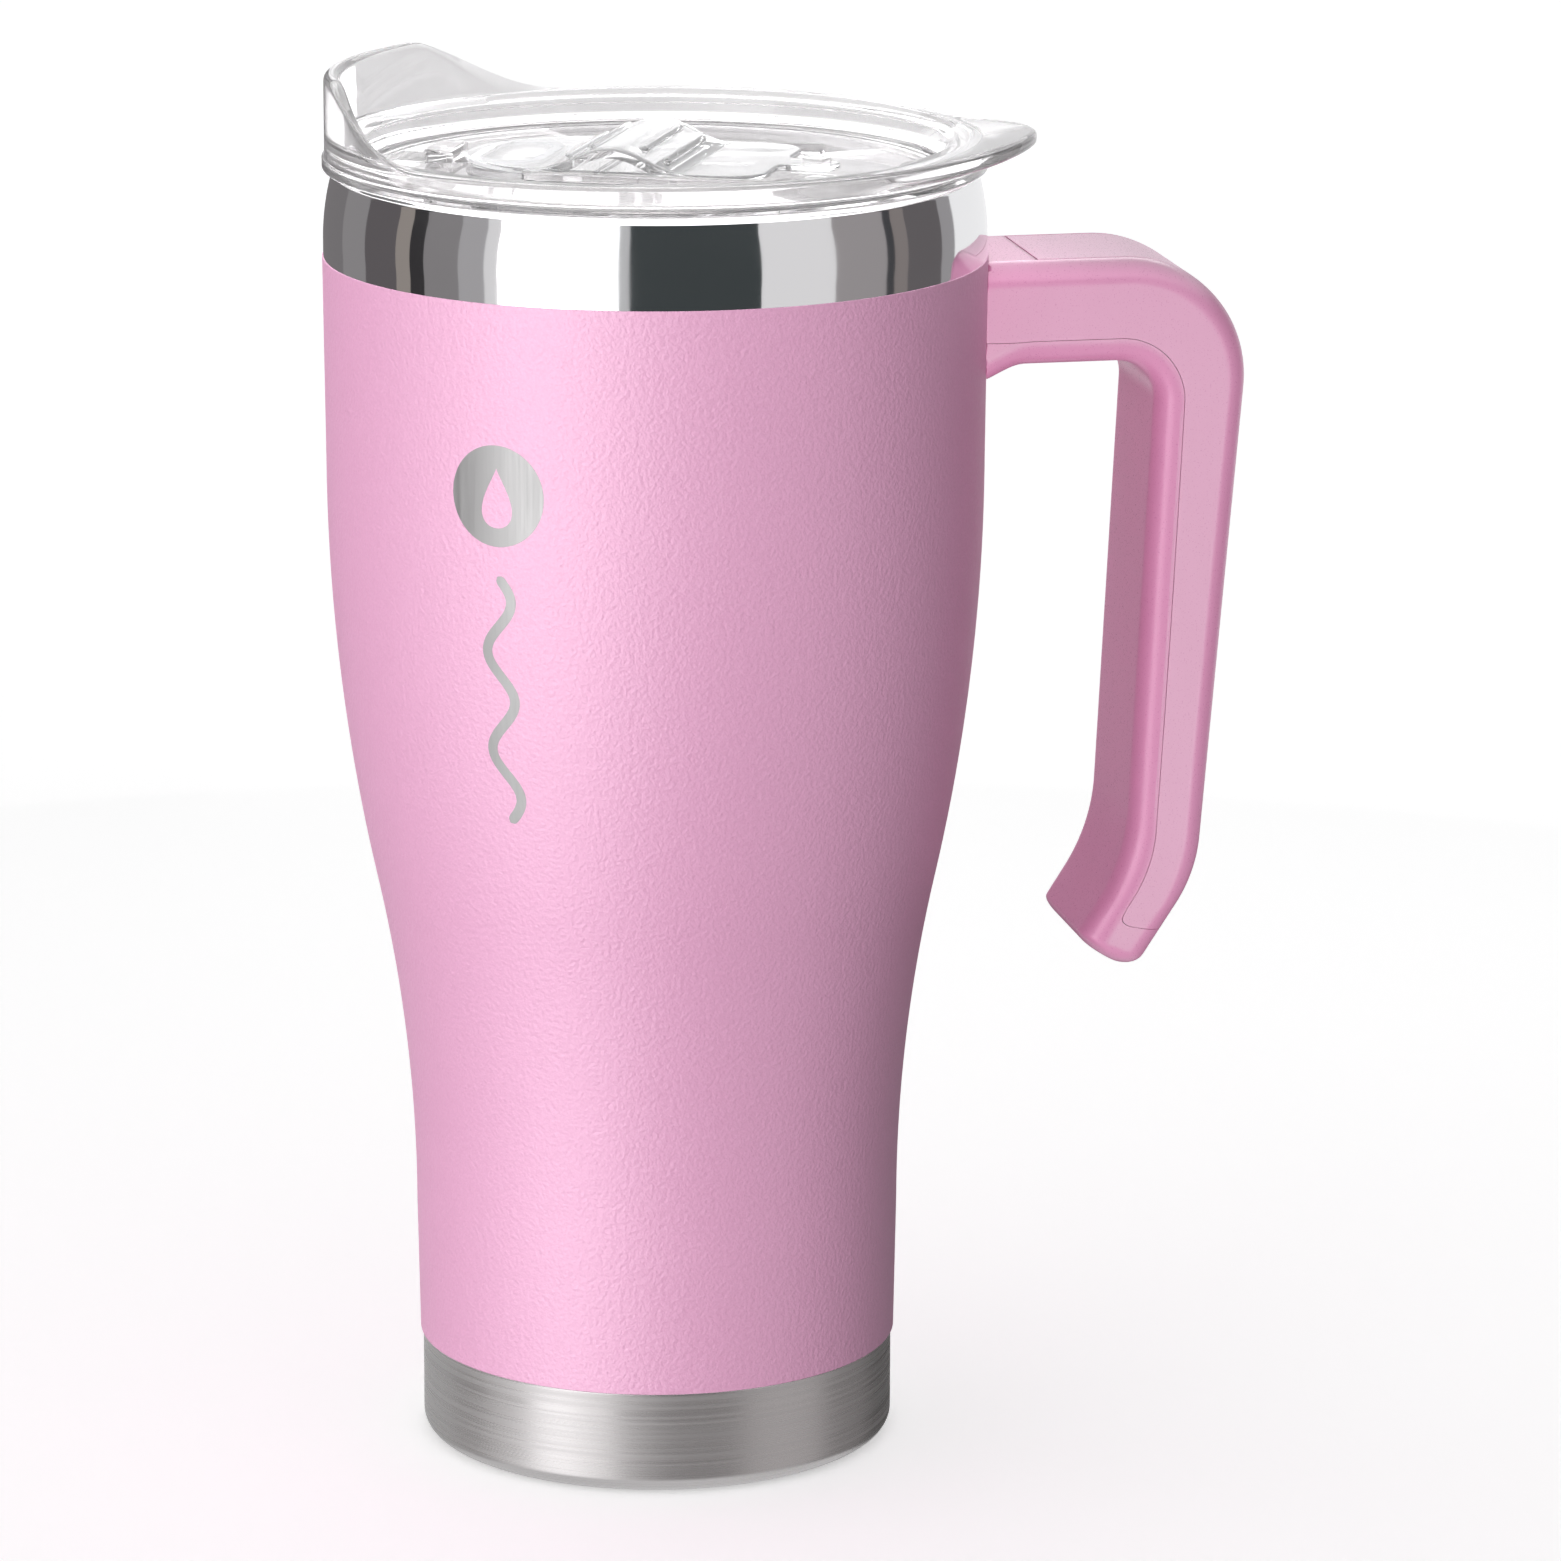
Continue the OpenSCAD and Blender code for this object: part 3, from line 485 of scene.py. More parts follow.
def arc(centre, radius, start, end, count):
    """Points on a circle's arc between two angles in radians."""
    a = np.linspace(start, end, count)
    return np.array(centre) + radius * np.stack([np.cos(a), np.sin(a)], -1)


def side_outline(bend_centre, radius, lean, arc_z, arc_r, tip_len, arm_z):
    """A side line of the handle, from the cup along the arm, round the bend and down to the tip."""
    x = np.linspace(root_x, bend_centre[0], arm_count)[:-1]
    arm = np.stack([x, arm_z(x)], -1)
    bend = arc(bend_centre, radius, np.pi / 2, -lean, 36)
    start = bend[-1]
    z = np.linspace(start[1], arc_z, 26)[1:]
    grip = np.stack([start[0] - (start[1] - z) * np.tan(lean), z], -1)
    turn_centre = grip[-1] - arc_r * np.array([np.cos(lean), -np.sin(lean)])
    turn = arc(turn_centre, arc_r, -lean, -tip_turn, 20)[1:]
    along = np.linspace(0, 1, 33)[1:, None]
    tip = turn[-1] - along * tip_len * np.array([np.sin(tip_turn), np.cos(tip_turn)])
    return np.concatenate([arm, bend, grip, turn, tip])


out_line = side_outline(
    (handle_reach - bend_r, handle_top_z - bend_r), bend_r, lean_out, tip_arc_out_z,
    tip_arc_out_r, tip_out_len, lambda x: np.full_like(x, handle_top_z))
in_line = side_outline(
    (crook_x, handle_top_z - arm_depth - crook_r), crook_r, lean_in, tip_arc_in_z,
    tip_arc_in_r, tip_in_len,
    lambda x: handle_top_z - arm_depth - root_flare * smooth(1 - (x - root_x) / root_flare_len))
run_out = np.concatenate([[0], np.cumsum(np.linalg.norm(np.diff(out_line, axis=0), axis=1))])


def stations(run):
    """Outer point, inward direction and depth of the handle at distances along its outer line."""
    outer = np.stack([np.interp(run, run_out, out_line[:, k]) for k in (0, 1)], -1)
    inner = np.stack([np.interp(run, run_out, in_line[:, k]) for k in (0, 1)], -1)
    depth = np.linalg.norm(inner - outer, axis=1)
    return outer, (inner - outer) / depth[:, None], depth


def swept(name, run, corners, trims, past_tip=0.0, steps=8):
    """A section carried along the handle: its corners are pairs of side and depth, one pair for
    each station, and their edges are rounded by the trims."""
    outer, inward, _ = stations(run)
    section = soften([np.stack(np.broadcast_arrays(y, d), -1) for y, d in corners], trims, steps)
    side, deep = section[..., 0].T, section[..., 1].T
    plan = outer[:, None] + deep[..., None] * inward[:, None]
    if past_tip:
        plan[-1] -= past_tip * np.array([np.sin(tip_turn), np.cos(tip_turn)])
    points = np.stack([plan[..., 0], side, plan[..., 1]], -1)
    return skin(name, points, cols_close=True, caps=True)


def cut(piece, tool, operation="DIFFERENCE"):
    """Cuts a piece with a tool's shape, or joins or crosses them, and removes the tool."""
    boolean = piece.modifiers.new("cut", "BOOLEAN")
    boolean.operation = operation
    boolean.solver = "EXACT"
    boolean.object = tool
    graph = bpy.context.evaluated_depsgraph_get()
    made = bpy.data.meshes.new_from_object(piece.evaluated_get(graph))
    piece.modifiers.clear()
    piece.data = made
    made.name = piece.name
    bpy.data.objects.remove(tool)
    shade(piece)


def copy_of(piece, name):
    """A second piece with the same mesh."""
    twin = bpy.data.objects.new(name, piece.data.copy())
    bpy.context.scene.collection.objects.link(twin)
    shade(twin)
    return twin


# The tip is rounded as the rim of a coin is: near the end, each section is drawn in by the sagitta
# of a circle of the tip's radius.
tip_round = 3.4
edge_out, edge_in = 3.8, 4.2
run_end = run_out[-1]
near_tip = run_end - tip_round * (1 - np.cos(np.radians(np.linspace(90, 0, 12))))
form_run = np.concatenate([run_out[run_out < run_end - tip_round - 0.3], np.sort(near_tip)])
inset = tip_round - np.sqrt(np.clip(
    tip_round**2 - np.maximum(form_run - (run_end - tip_round), 0) ** 2, 0, None))
inset = np.minimum(inset, tip_round * 0.98)
_, _, form_depth = stations(form_run)
wide = half_w - inset
form_corners = [(wide, inset), (-wide, inset), (-wide, form_depth - inset), (wide, form_depth - inset)]
handle_form = swept("handle_form", form_run, form_corners, [edge_out, edge_out, edge_in, edge_in])

saddle_low_z, saddle_high_z, saddle_gap = 150, 192, 0.04
cup_tool = turned("cup_tool", np.array([
    (0, saddle_low_z), *outline_between(saddle_low_z, saddle_high_z, -saddle_gap, 12),
    (0, saddle_high_z)]), 256, closed=False)
cut(handle_form, cup_tool)
hollow_run = run_out[run_out < run_end - tip_round - 2]
_, _, hollow_depth = stations(hollow_run)
hollow_w = np.full_like(hollow_run, half_w - shell_t)
hollow_top = strip_t + shell_t
hollow = swept("hollow", hollow_run, [
    (hollow_w, hollow_top), (-hollow_w, hollow_top), (-hollow_w, hollow_depth - shell_t),
    (hollow_w, hollow_depth - shell_t)], [edge_out - shell_t] * 4, steps=3)
cut(handle_form, hollow)


def seam_tool(name, gap):
    """The space on the finger side of the parting line. The line keeps its depth from the finger
    side, bends through a quarter circle near the tip and crosses the sides there."""
    wrap = seam_wrap + gap
    back = np.concatenate([
        np.linspace(run_end, wrap + seam_round, 120)[:-1],
        wrap + seam_round * (1 - np.sin(np.radians(np.linspace(0, 90, 10)))),
        [wrap - 0.01, 0]])
    run = run_end - back
    _, _, depth = stations(run)
    bend = np.clip((wrap + seam_round - back) / seam_round, 0, 1)
    flare = root_flare * smooth(1 - run / root_flare_len)
    seam = depth - flare - seam_depth - seam_round * (1 - np.sqrt(1 - bend**2)) - gap
    seam = np.where(back < wrap, -past_face, seam)
    width, deep = np.full_like(run, half_w + past_side), depth + past_face
    return swept(name, run, [(width, seam), (-width, seam), (-width, deep), (width, deep)],
                 [0] * 4, past_tip=past_face)


strip_start = strip_start_x - root_x
strip_end = float(np.interp(-strip_end_z, -out_line[arm_count:, 1], run_out[arm_count:]))


def strip_shape(name, side_gap, low, high, trims):
    """The cover strip's run: from just past the cup, round the bend, to just above the tip."""
    apart = 0.5
    run = np.concatenate([
        [strip_start + side_gap],
        run_out[(run_out > strip_start + apart) & (run_out < strip_end - apart)],
        [strip_end - side_gap]])
    width = np.full_like(run, strip_half - side_gap)
    return swept(name, run, [(width, low), (-width, low), (-width, high), (width, high)], trims)


inner_half = copy_of(handle_form, "handle_inner_half")
cut(inner_half, seam_tool("seam_tool", 0.0), "INTERSECT")
outer_half = copy_of(handle_form, "handle_outer_half")
cut(outer_half, seam_tool("seam_tool", hairline_gap))
cut(outer_half, strip_shape("strip_pocket", 0.0, -past_side, strip_t, [0] * 4))
bpy.data.objects.remove(handle_form)


def moulded(name, base, light, dark):
    """Satin coloured plastic with a hardly visible flow in its tone and a fine tool texture."""
    material, tree, shader = finish_of(name, base, 0.3, Specular_IOR_Level=0.9)
    vary_colour(tree, shader, grain(tree, (1, 1, 0.4), 55, 2), dark, light)
    fine = grain(tree, (1, 1, 1), 3800, 2)
    vary_roughness(tree, shader, fine, 0.26, 0.36)
    relief(tree, shader, fine, 0.12, 0.00004)
    return material


shell_pink = moulded("pink_handle_plastic", (0.76, 0.30, 0.515), (0.775, 0.31, 0.53),
                     (0.745, 0.29, 0.50))
cover_pink = moulded("pink_cover_plastic", (0.78, 0.33, 0.545), (0.79, 0.34, 0.555),
                     (0.77, 0.32, 0.535))
put_on(inner_half, "cup", "pink_handle_plastic", shell_pink, "handle_inner_shell")
put_on(outer_half, "cup", "pink_handle_plastic", shell_pink, "handle_outer_shell")


# ---- Cover strip ----
# A thin moulded strip clips into the pocket along the arm and the grip and hides the screws. Its
# edges are slightly rounded, so a fine dark line runs round it.
cover = strip_shape("handle_cover_strip", strip_gap, 0.0, strip_t - 0.03, [0.15, 0.15, 0.1, 0.1])
put_on(cover, "cup", "pink_handle_plastic", cover_pink, "handle_cover")


# ---- Lid gasket ----
# The gasket is one ring of milky silicone with two soft lips that wipe the inside of the mouth.
# It sits in the groove of the lid's skirt.
silicone, tree, shader = finish_of(
    "clear_silicone", (0.76, 0.76, 0.775), 0.3, Transmission_Weight=0.4, IOR=1.41)
cloud = grain(tree, (1, 1, 1), 300)
vary_roughness(tree, shader, cloud, 0.22, 0.4)
relief(tree, shader, cloud, 0.1, 0.00005)

gasket_in, gasket_out = 44.56, mouth_r - 0.1
(_, _, gasket_low), (_, _, gasket_high) = corner_box("lid_gasket")
gasket_profile = soften([
    (gasket_in, gasket_low), (gasket_in + 0.9, gasket_low), (gasket_out, gasket_low + 0.5),
    (gasket_out, gasket_low + 0.9), (gasket_in + 0.8, gasket_low + 1.6),
    (gasket_in + 0.8, gasket_high - 1.9), (gasket_out, gasket_high - 1.2),
    (gasket_out, gasket_high - 0.8), (gasket_in + 0.9, gasket_high), (gasket_in, gasket_high)],
    [0.15, 0.3, 0.2, 0.2, 0.3, 0.3, 0.2, 0.2, 0.3, 0.15], 4)[:, 0]
gasket = turned("gasket_ring", gasket_profile, 192)
put_on(gasket, "gasket", "clear_silicone", silicone, "lid_gasket")


# ---- Lid ----
# The lid is one moulding of clear copolyester: a plug skirt with the gasket groove, a stepped
# flange, a shallow well, a splash guard on the drinking side and a thumb tab across from it.
spout_azimuth = np.radians(155)
open_way = spout_azimuth + np.pi
skirt_foot_z, groove_low_z, groove_high_z = 189.6, 190.6, 195.4
flange_low_z, flange_step_z, flange_top_z = 198.9, 200.6, 203.5
guard_top_z = corner_box("lid_body")[1][2]
well_z, lid_floor_t = 198.7, 2.2
skirt_in_r, well_foot_r, well_mouth_r, plug_r, groove_r = 43.0, 43.1, 44.0, 45.7, 44.5
lower_tier_r, upper_tier_r = 50.3, 49.9
guard_in_r, guard_flat, guard_end = 47.4, 24, 60
tab_reach, tab_lift, tab_t, tab_half = 8.1, 2.5, 2.2, 42
ledge_w, ledge_drop = 2.7, 0.8


def clear(name, tint, rough=0.015):
    """Clear gloss plastic with the faint waviness of a moulding."""
    material, tree, shader = finish_of(name, tint, rough, Transmission_Weight=0.93, IOR=1.4)
    wave = grain(tree, (1, 1, 1), 120, 2)
    vary_roughness(tree, shader, wave, rough * 0.5, rough * 2.5)
    relief(tree, shader, wave, 0.12, 0.00012)
    return material


clear_plastic = clear("clear_copolyester", (0.945, 0.932, 0.938))


def round_in(t):
    """A quarter circle's rise from 0 to 1."""
    return np.sqrt(1 - (1 - np.clip(t, 0, 1)) ** 2)


# The guard and the tab rise smoothly by their angle from the spout, and the ledge round the well
# starts and stops in quarter circles.
lid_steps = 384
turn = np.linspace(0, 2 * np.pi, lid_steps, endpoint=False)
off_spout = np.degrees(np.abs((turn - spout_azimuth + np.pi) % (2 * np.pi) - np.pi))
off_tab = 180 - off_spout
guard = smooth((guard_end - off_spout) / (guard_end - guard_flat))
tab = smooth(1 - off_tab / tab_half)
ledge = round_in((off_tab - 22) / 9) * round_in((140 - off_tab) / 6)
crest_z = flange_top_z + (guard_top_z - flange_top_z) * guard + tab_lift * tab
blade_r = upper_tier_r + (tab_reach + 0.2) * tab
blade_low = (1 - tab) * (flange_step_z + 0.9) + tab * (crest_z - tab_t)
ledge_r = well_mouth_r + 1 + (ledge_w - 1) * ledge + 0.2
ledge_z = flange_top_z - ledge_drop


def ring(radius, height):
    """A corner of the lid's profile, one point for each step round it."""
    return np.stack(np.broadcast_arrays(radius + 0 * turn, height + 0 * turn), -1)


lid_corners = [
    (ring(0, well_z - lid_floor_t), 0), (ring(skirt_in_r, well_z - lid_floor_t), 1.2),
    (ring(skirt_in_r, skirt_foot_z), 0.25), (ring(plug_r, skirt_foot_z), 0.6),
    (ring(plug_r, groove_low_z), 0.12), (ring(groove_r, groove_low_z), 0.12),
    (ring(groove_r, groove_high_z), 0.12), (ring(plug_r, groove_high_z), 0.12),
    (ring(plug_r, flange_low_z), 0.4), (ring(lower_tier_r, flange_low_z), 0.45),
    (ring(lower_tier_r, flange_step_z), 0.35), (ring(upper_tier_r, flange_step_z), 0.15),
    (ring(blade_r, blade_low), 0.8), (ring(blade_r, crest_z), 1.0),
    (ring(guard_in_r + 0.5 * (1 - guard), flange_top_z + (crest_z - flange_top_z) * np.maximum(
        guard, 0.2 * tab)), 1.0),
    (ring(guard_in_r, flange_top_z), 0.8), (ring(ledge_r, flange_top_z), 0.3),
    (ring(well_mouth_r + 0.15 + (ledge_w - 0.3) * ledge, ledge_z), 0.25),
    (ring(well_mouth_r, ledge_z - 0.05), 0.3), (ring(well_foot_r, well_z), 1.0),
    (ring(0, well_z), 0)]
lid_profile = soften([c for c, _ in lid_corners], [r for _, r in lid_corners], 4, closed=False)
lid = turned("lid_clear", lid_profile, lid_steps, closed=False)


def lid_place(points):
    """Turns points from the lid's own frame, +X towards the thumb tab, into place."""
    c, s = np.cos(open_way), np.sin(open_way)
    x, y, z = points[..., 0], points[..., 1], points[..., 2]
    return np.stack([c * x - s * y, s * x + c * y, z], -1)


def slab(name, outline, low, high, edge, steps=4):
    """A plate with a given outline: its rim is a half-round of the edge radius at top and bottom."""
    along = np.roll(outline, -1, 0) - np.roll(outline, 1, 0)
    normal = np.stack([along[:, 1], -along[:, 0]], -1)
    normal /= np.linalg.norm(normal, axis=1)[:, None]
    a = np.radians(np.linspace(0, 90, steps + 1))
    draw = np.concatenate([edge * (1 - np.sin(a)), edge * (1 - np.cos(a))])
    level = np.concatenate([low + edge * (1 - np.cos(a)), high - edge * (1 - np.sin(a))])
    plan = outline[None] - draw[:, None, None] * normal[None]
    height = np.broadcast_to(level[:, None, None], (*plan.shape[:2], 1))
    return skin(name, lid_place(np.concatenate([plan, height], -1)), cols_close=True, caps=True)


def plan_of(corners, trims, steps=10):
    """A closed plan outline, anticlockwise, with rounded corners."""
    return soften(corners, trims, steps)[:, 0]


def oblong(x0, x1, y0, y1, r):
    """A rectangle's outline with corners of radius r."""
    return plan_of([(x0, y0), (x1, y0), (x1, y1), (x0, y1)], [r] * 4)


hole_u, hole_half_w, hole_half_len = -21.5, 3.2, 8.0
slot_half, slot_start, slot_end = 3.2, -3.2, 15.2
below_floor, above_floor = well_z - 6, well_z + 4
drink_hole = slab("drink_hole", oblong(
    hole_u - hole_half_w, hole_u + hole_half_w, -hole_half_len, hole_half_len,
    hole_half_w - 0.01), below_floor, above_floor, 0.01, 1)
slide_slot = slab("slide_slot", oblong(slot_start, slot_end, -slot_half, slot_half, 0.5),
                  below_floor, above_floor, 0.01, 1)
rail_start, rail_end, rail_y, rail_w, rail_h = -16, 22, 17.3, 1.2, 1.5
rails = [slab("rail", oblong(rail_start, rail_end, y, y + rail_w, 0.5), well_z - 1,
              well_z + rail_h, 0.3) for y in (rail_y, -rail_y - rail_w)]
stop_start, stop_end, stop_half, stop_h = -35, -30.5, 5, 2
stop = slab("stop", oblong(stop_start, stop_end, -stop_half, stop_half, 0.8), well_z - 1,
            well_z + stop_h, 0.4)
for part in (*rails, stop):
    cut(lid, part, "UNION")
for part in (drink_hole, slide_slot):
    cut(lid, part)
put_on(lid, "lid", "clear_plastic", clear_plastic, "lid_body")


# ---- Slider ----
# The slider is a clear plate that covers the drinking hole. A raised bridge with four ribs gives
# the thumb its grip, a tongue with a nub keeps it straight, and its stem runs in the lid's slot.
plate_low, plate_high = well_z + 0.6, well_z + 1.6
nose_u, nose_r, heel_u, heel_r = -12.6, 16.5, 20.0, 6.0
tongue_end, tongue_half, tongue_round = 28.5, 3.5, 3.4
arch_start, arch_end, arch_top, arch_t = -14.5, 8.4, 203.8, 1.6
clear_slider = clear("clear_slider", (0.94, 0.938, 0.942))

nose = arc((nose_u, 0), nose_r, np.pi / 2, 3 * np.pi / 2, 48)
tail = soften([
    (nose_u, -nose_r), (heel_u, -nose_r), (heel_u, -tongue_half), (tongue_end, -tongue_half),
    (tongue_end, tongue_half), (heel_u, tongue_half), (heel_u, nose_r), (nose_u, nose_r)],
    [0, heel_r, 1.2, tongue_round, tongue_round, 1.2, heel_r, 0], 10, closed=False)[1:-1, 0]
slider = slab("slider_clear", np.concatenate([nose, tail]), plate_low, plate_high, 0.35)

# The bridge's top is one raised cosine wave along the slider, with its side edges turned down.
u = np.linspace(arch_start, arch_end, 49)
crest = plate_high + (arch_top - plate_high) * (1 + np.cos(
    2 * np.pi * (u - (arch_start + arch_end) / 2) / (arch_end - arch_start))) / 2
under = np.maximum(crest - arch_t, plate_high - 0.5)
bridge_w = np.array([1, 0.985, 0.94, -0.94, -0.985, -1]) * (nose_r - 0.4)
rim_drop = np.array([0.45, 0.12, 0, 0, 0.12, 0.45])
upper = np.stack(np.broadcast_arrays(u[:, None], bridge_w[None], crest[:, None] - rim_drop), -1)
lower = np.stack(np.broadcast_arrays(u[:, None], bridge_w[None, ::-1], under[:, None] - 0.02), -1)
bridge = skin("bridge", lid_place(np.concatenate([upper, lower], 1)), cols_close=True, caps=True)
cut(slider, bridge, "UNION")

# Each rib is a round bar across the bridge, half sunk in it, with ball ends.
rib_half, rib_r = 12.0, 0.7
for rib_u in (-10.5, -7.0, 1.0, 4.5):
    rib_z = float(np.interp(rib_u, u, crest))
    y = np.linspace(-rib_half, rib_half, 33)
    r = rib_r * np.sqrt(np.clip(1 - (np.maximum(np.abs(y) - rib_half + rib_r, 0) / rib_r) ** 2,
                                0.004, 1))
    a = np.linspace(0, 2 * np.pi, 20, endpoint=False)
    rib = skin("rib", lid_place(np.stack(np.broadcast_arrays(
        rib_u + r[:, None] * np.cos(a), y[:, None], rib_z + r[:, None] * np.sin(a)), -1)),
        cols_close=True, caps=True)
    cut(slider, rib, "UNION")
nub = slab("nub", arc((heel_u + 5, 0), 2.2, 0, 2 * np.pi, 41)[:-1], plate_high - 0.5,
           plate_high + 1, 0.5)
stem_u, stem_v, stem_round = 2.8, 2.9, 0.4
clip_half, clip_low_z, clip_high_z = 6.5, 194.6, 196.2
stem = slab("stem", oblong(-stem_u, stem_u, -stem_v, stem_v, stem_round), clip_low_z + 0.05,
            plate_low + 0.4, 0.2)
for part in (nub, stem):
    cut(slider, part, "UNION")
put_on(slider, "slider", "clear_plastic", clear_slider, "slider")

# The seal is a soft oblong ring under the plate, and the retainer is a flat clip pushed onto the
# stem from below so that the slider can't lift off.
dress("slider_seal", silicone)
retainer = slab("retainer_clip", oblong(-clip_half, clip_half, -clip_half, clip_half, 1.2),
                clip_low_z, clip_high_z, 0.3)
hole_x, hole_y = stem_u + 0.01, stem_v + 0.01
retainer_hole = slab("retainer_hole", oblong(-hole_x, hole_x, -hole_y, hole_y, stem_round),
                     clip_low_z - 4, clip_high_z + 4, 0.01, 1)
cut(retainer, retainer_hole)
put_on(retainer, "slider", "clear_plastic", clear_slider, "slider_retainer")

# Clear pieces throw hardly any shadow, so theirs is left out.
for piece in (lid, slider, retainer, gasket):
    piece.visible_shadow = False


# ---- Studio ----
# The cup stands on a plain pale table top in a tent of bright cloth, with soft lights in front of
# it, at its left, above and behind. Two rings of white, grey and black boards round it show only
# as reflections in the polished band and the foot.
def stage_material(name, colour, glow, low_glow=None):
    """A matt stage surface that also gives off light, weaker low down if a low glow is given."""
    low_z, high_z = -0.3, 2.2
    material, tree, shader = finish_of(name, colour, 0.9)
    shader.inputs["Emission Color"].default_value = (*colour, 1)
    shader.inputs["Emission Strength"].default_value = glow
    if low_glow is not None:
        height = add(tree, "SeparateXYZ", {"Vector": add(tree, "TexCoord").outputs["Object"]})
        fade = add(tree, "MapRange", {
            "Value": height.outputs["Z"], "From Min": low_z, "From Max": high_z,
            "To Min": low_glow, "To Max": glow})
        tree.links.new(fade.outputs["Result"], shader.inputs["Emission Strength"])
    relief(tree, shader, grain(tree, (1, 1, 1), 400), 0.02, 0.00005)
    return material


def stage_mesh(name, points, material):
    """A stage surface through a grid of points in metres."""
    surface = skin(name, points / MM, sharp=60)
    surface.modifiers.clear()
    surface.data.materials.append(material)
    surface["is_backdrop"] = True
    return surface


# Only the camera sees the table top, so no piece reflects it.
half_floor = 6.0
corners = np.array([[(-half_floor, -half_floor, 0), (half_floor, -half_floor, 0)],
                    [(-half_floor, half_floor, 0), (half_floor, half_floor, 0)]])
table_top = stage_mesh("table_top", corners, stage_material("pale_table", (0.95, 0.95, 0.95), 0.31))
table_top.visible_diffuse = False
table_top.visible_glossy = False
table_top.visible_transmission = False
table_top.visible_shadow = False


board_r = 0.42


def board(name, start, end, low, high, tone):
    """A curved board on a circle round the cup, between two azimuths in degrees."""
    a = np.radians(np.linspace(start, end, 24))[None, :]
    z = np.array([low, high])[:, None]
    points = np.stack(np.broadcast_arrays(board_r * np.cos(a), board_r * np.sin(a), z), -1)
    material, _, shader = finish_of(name + "_face", (0, 0, 0), 1.0)
    shader.inputs["Emission Color"].default_value = (*tone, 1)
    shader.inputs["Emission Strength"].default_value = 1.0
    piece = stage_mesh(name, points, material)
    piece.visible_camera = False
    piece.visible_diffuse = False
    piece.visible_shadow = False
    piece.visible_transmission = False


band_boards = [
    (92, 128, (0.17, 0.16, 0.165)), (128, 146, (0.24, 0.23, 0.235)), (146, 164, (0.10, 0.09, 0.095)),
    (164, 171, (0.27, 0.24, 0.22)), (171, 177.5, (0.02, 0.018, 0.02)),
    (177.5, 192, (0.21, 0.20, 0.205)), (192, 202, (0.36, 0.35, 0.36)), (202, 207, (0.70, 0.69, 0.70)),
    (207, 233, (2.6, 2.57, 2.58)), (233, 247.5, (1.5, 1.5, 1.51)), (247.5, 251, (0.50, 0.50, 0.51)),
    (251, 293.5, (0.034, 0.042, 0.044)), (293.5, 320, (0.74, 0.73, 0.74)),
    (320, 341, (0.30, 0.28, 0.285)), (341, 344.5, (0.04, 0.04, 0.045)),
    (344.5, 351, (0.21, 0.185, 0.18)), (351, 370, (0.11, 0.10, 0.105)), (370, 379, (0.3, 0.29, 0.3)),
    (379, 452, (0.9, 0.9, 0.91))]
foot_boards = [
    (92, 145, (0.42, 0.42, 0.42)), (145, 172, (0.30, 0.29, 0.29)), (172, 198, (0.62, 0.61, 0.61)),
    (198, 222, (1.60, 1.59, 1.60)), (222, 240, (1.20, 1.19, 1.19)), (240, 258, (0.45, 0.44, 0.44)),
    (258, 300, (0.26, 0.25, 0.25)), (300, 345, (0.52, 0.50, 0.50)), (345, 380, (0.22, 0.21, 0.21)),
    (380, 452, (0.08, 0.078, 0.077))]
for ring_name, low, high, tones in (("band_board", 0.0, 0.36, band_boards),
                                    ("foot_board", -0.3, 0.0, foot_boards)):
    for index, (start, end, tone) in enumerate(tones):
        board(f"{ring_name}_{index}", start, end, low, high, tone)

a = np.linspace(0, 2 * np.pi, 49)[None, :]
e = np.linspace(-np.pi / 2, np.pi / 2, 25)[:, None]
tent_r = 4.0
tent = stage_mesh("light_tent", tent_r * np.stack(np.broadcast_arrays(
    np.cos(e) * np.cos(a), np.cos(e) * np.sin(a), np.sin(e)), -1),
    stage_material("tent_cloth", (0.95, 0.95, 0.955), 2.15, 0.5))
tent.visible_camera = False
tent.visible_diffuse = False
tent.visible_shadow = False


def lit_group(name, pieces):
    """A collection of the pieces that a light falls on."""
    group = bpy.data.collections.new(name)
    for piece in pieces:
        group.objects.link(piece)
    return group


def softbox(name, azimuth, elevation, distance, width, height, watts, group, aim=(0, 0, 0.1)):
    """A rectangular light that faces a point and falls on a group of pieces only."""
    light = bpy.data.lights.new(name, "AREA")
    light.shape = "RECTANGLE"
    light.size, light.size_y = width, height
    light.energy = watts
    lamp = bpy.data.objects.new(name, light)
    az, el = np.radians(azimuth), np.radians(elevation)
    back = np.array([np.cos(el) * np.cos(az), np.cos(el) * np.sin(az), np.sin(el)])
    right = np.array([-np.sin(az), np.cos(az), 0])
    up = np.cross(back, right)
    place = Matrix(np.column_stack([right, up, back]).tolist()).to_4x4()
    place.translation = back * distance + np.array(aim)
    lamp.matrix_world = place
    lamp.light_linking.receiver_collection = group
    bpy.context.scene.collection.objects.link(lamp)
    return lamp


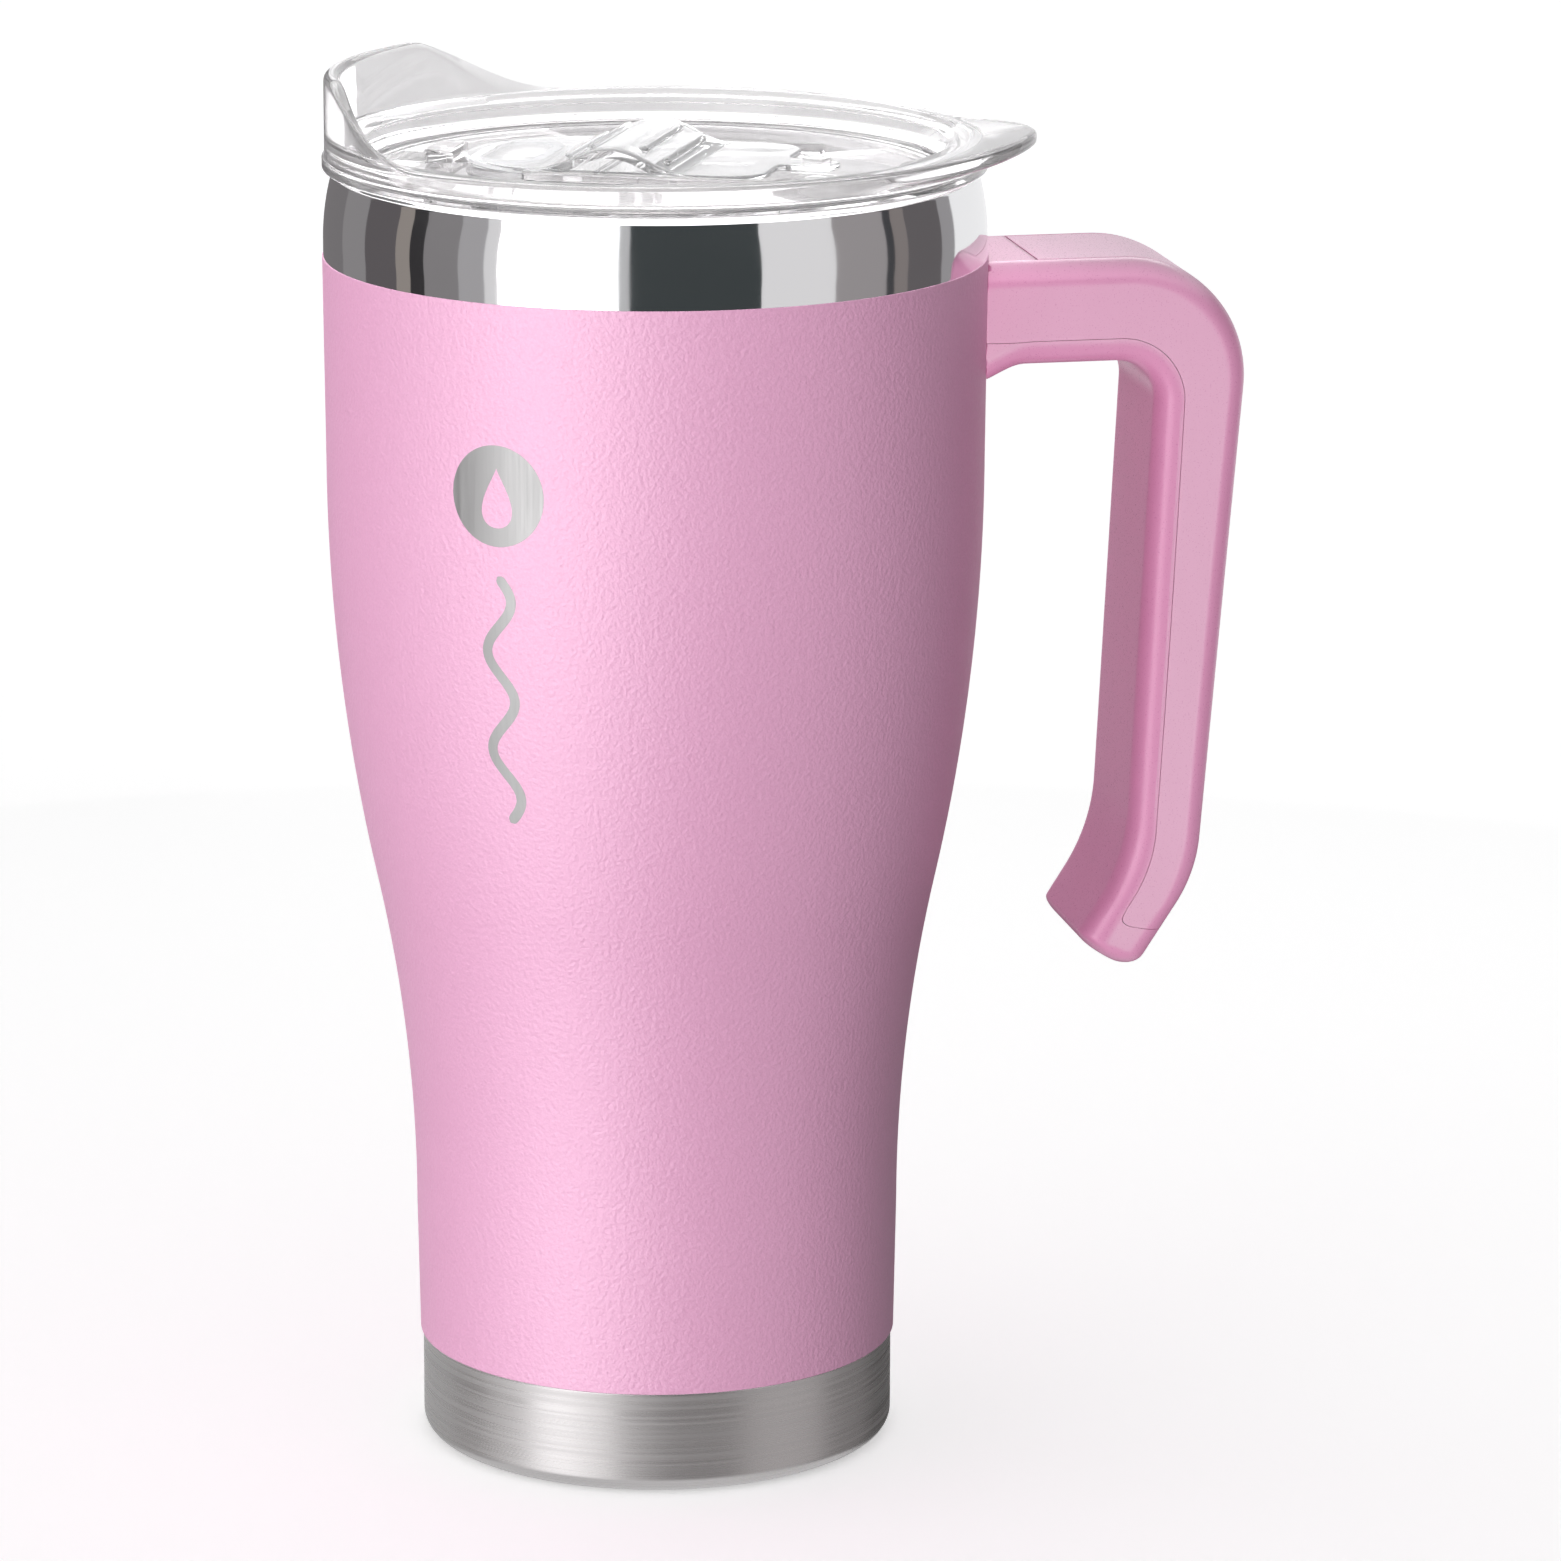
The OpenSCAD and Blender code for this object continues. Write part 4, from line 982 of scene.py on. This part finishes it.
# The coat's gloss, the handle and the table top have lights that fall on them alone.
handle_pieces = [inner_half, outer_half, cover]
handle_only = lit_group("handle_only", handle_pieces)
coat_only = lit_group("coat_only", [coat])
table_only = lit_group("table_only", [table_top])
all_but_handle = lit_group("all_but_handle", [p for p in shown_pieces() if p not in handle_pieces])
key = softbox("key_light", -118, 8, 1.1, 0.7, 0.9, 8.8, all_but_handle)
key.visible_glossy = False
softbox("gloss_light", -142, -12, 1.1, 0.45, 1.4, 8.5, coat_only).visible_diffuse = False
softbox("left_light", 178, 2, 1.1, 0.6, 0.9, 3.8, all_but_handle)
softbox("top_light", 105, 58, 1.1, 0.9, 0.9, 5, all_but_handle)
softbox("back_light", 105, 15, 1.1, 0.7, 0.9, 3.5, all_but_handle).visible_glossy = False
handle_aim = (0.08, 0, 0.14)
softbox("handle_front", -73, -17, 1.0, 0.55, 0.44, 5.2, handle_only, handle_aim)
softbox("handle_back", 80, 22, 1.0, 0.8, 0.7, 4.2, handle_only, handle_aim)
fill = softbox("handle_fill", -150, 0, 1.0, 0.6, 0.6, 3.6, handle_only, handle_aim)
fill.visible_glossy = False
fill.light_linking.blocker_collection = handle_only
softbox("table_light", 90, 90, 2.2, 8, 8, 100, table_only, (0, 0, 0))

world = bpy.data.worlds.new("studio_air")
world.use_nodes = True
world.node_tree.nodes["Background"].inputs["Color"].default_value = (1, 1, 1, 1)
world.node_tree.nodes["Background"].inputs["Strength"].default_value = 0.22
bpy.context.scene.world = world
bpy.context.scene.view_settings.view_transform = "Standard"

# The camera stands about 1.1 m in front of the cup and looks down on it through a long lens.
camera = bpy.data.objects.new("camera", bpy.data.cameras.new("camera"))
camera.data.lens = 173.47
camera.data.sensor_width = 36
camera.data.clip_start = 0.05
pitch, yaw, roll, swing = 0.2415, 0.0170, 0.0025, np.radians(-10.75)
ahead = np.array([np.sin(yaw) * np.cos(pitch), np.cos(yaw) * np.cos(pitch), -np.sin(pitch)])
level = np.array([np.cos(yaw), -np.sin(yaw), 0])
upright = np.cross(level, ahead)
right = np.cos(roll) * level + np.sin(roll) * upright
up = np.cos(roll) * upright - np.sin(roll) * level
view = Matrix(np.column_stack([right, up, -ahead]).tolist()).to_4x4()
view.translation = (0, -1.1247, 0.3802)
camera.matrix_world = Matrix.Rotation(swing, 4, "Z") @ view
bpy.context.scene.collection.objects.link(camera)
bpy.context.scene.camera = camera

bpy.context.view_layer.update()
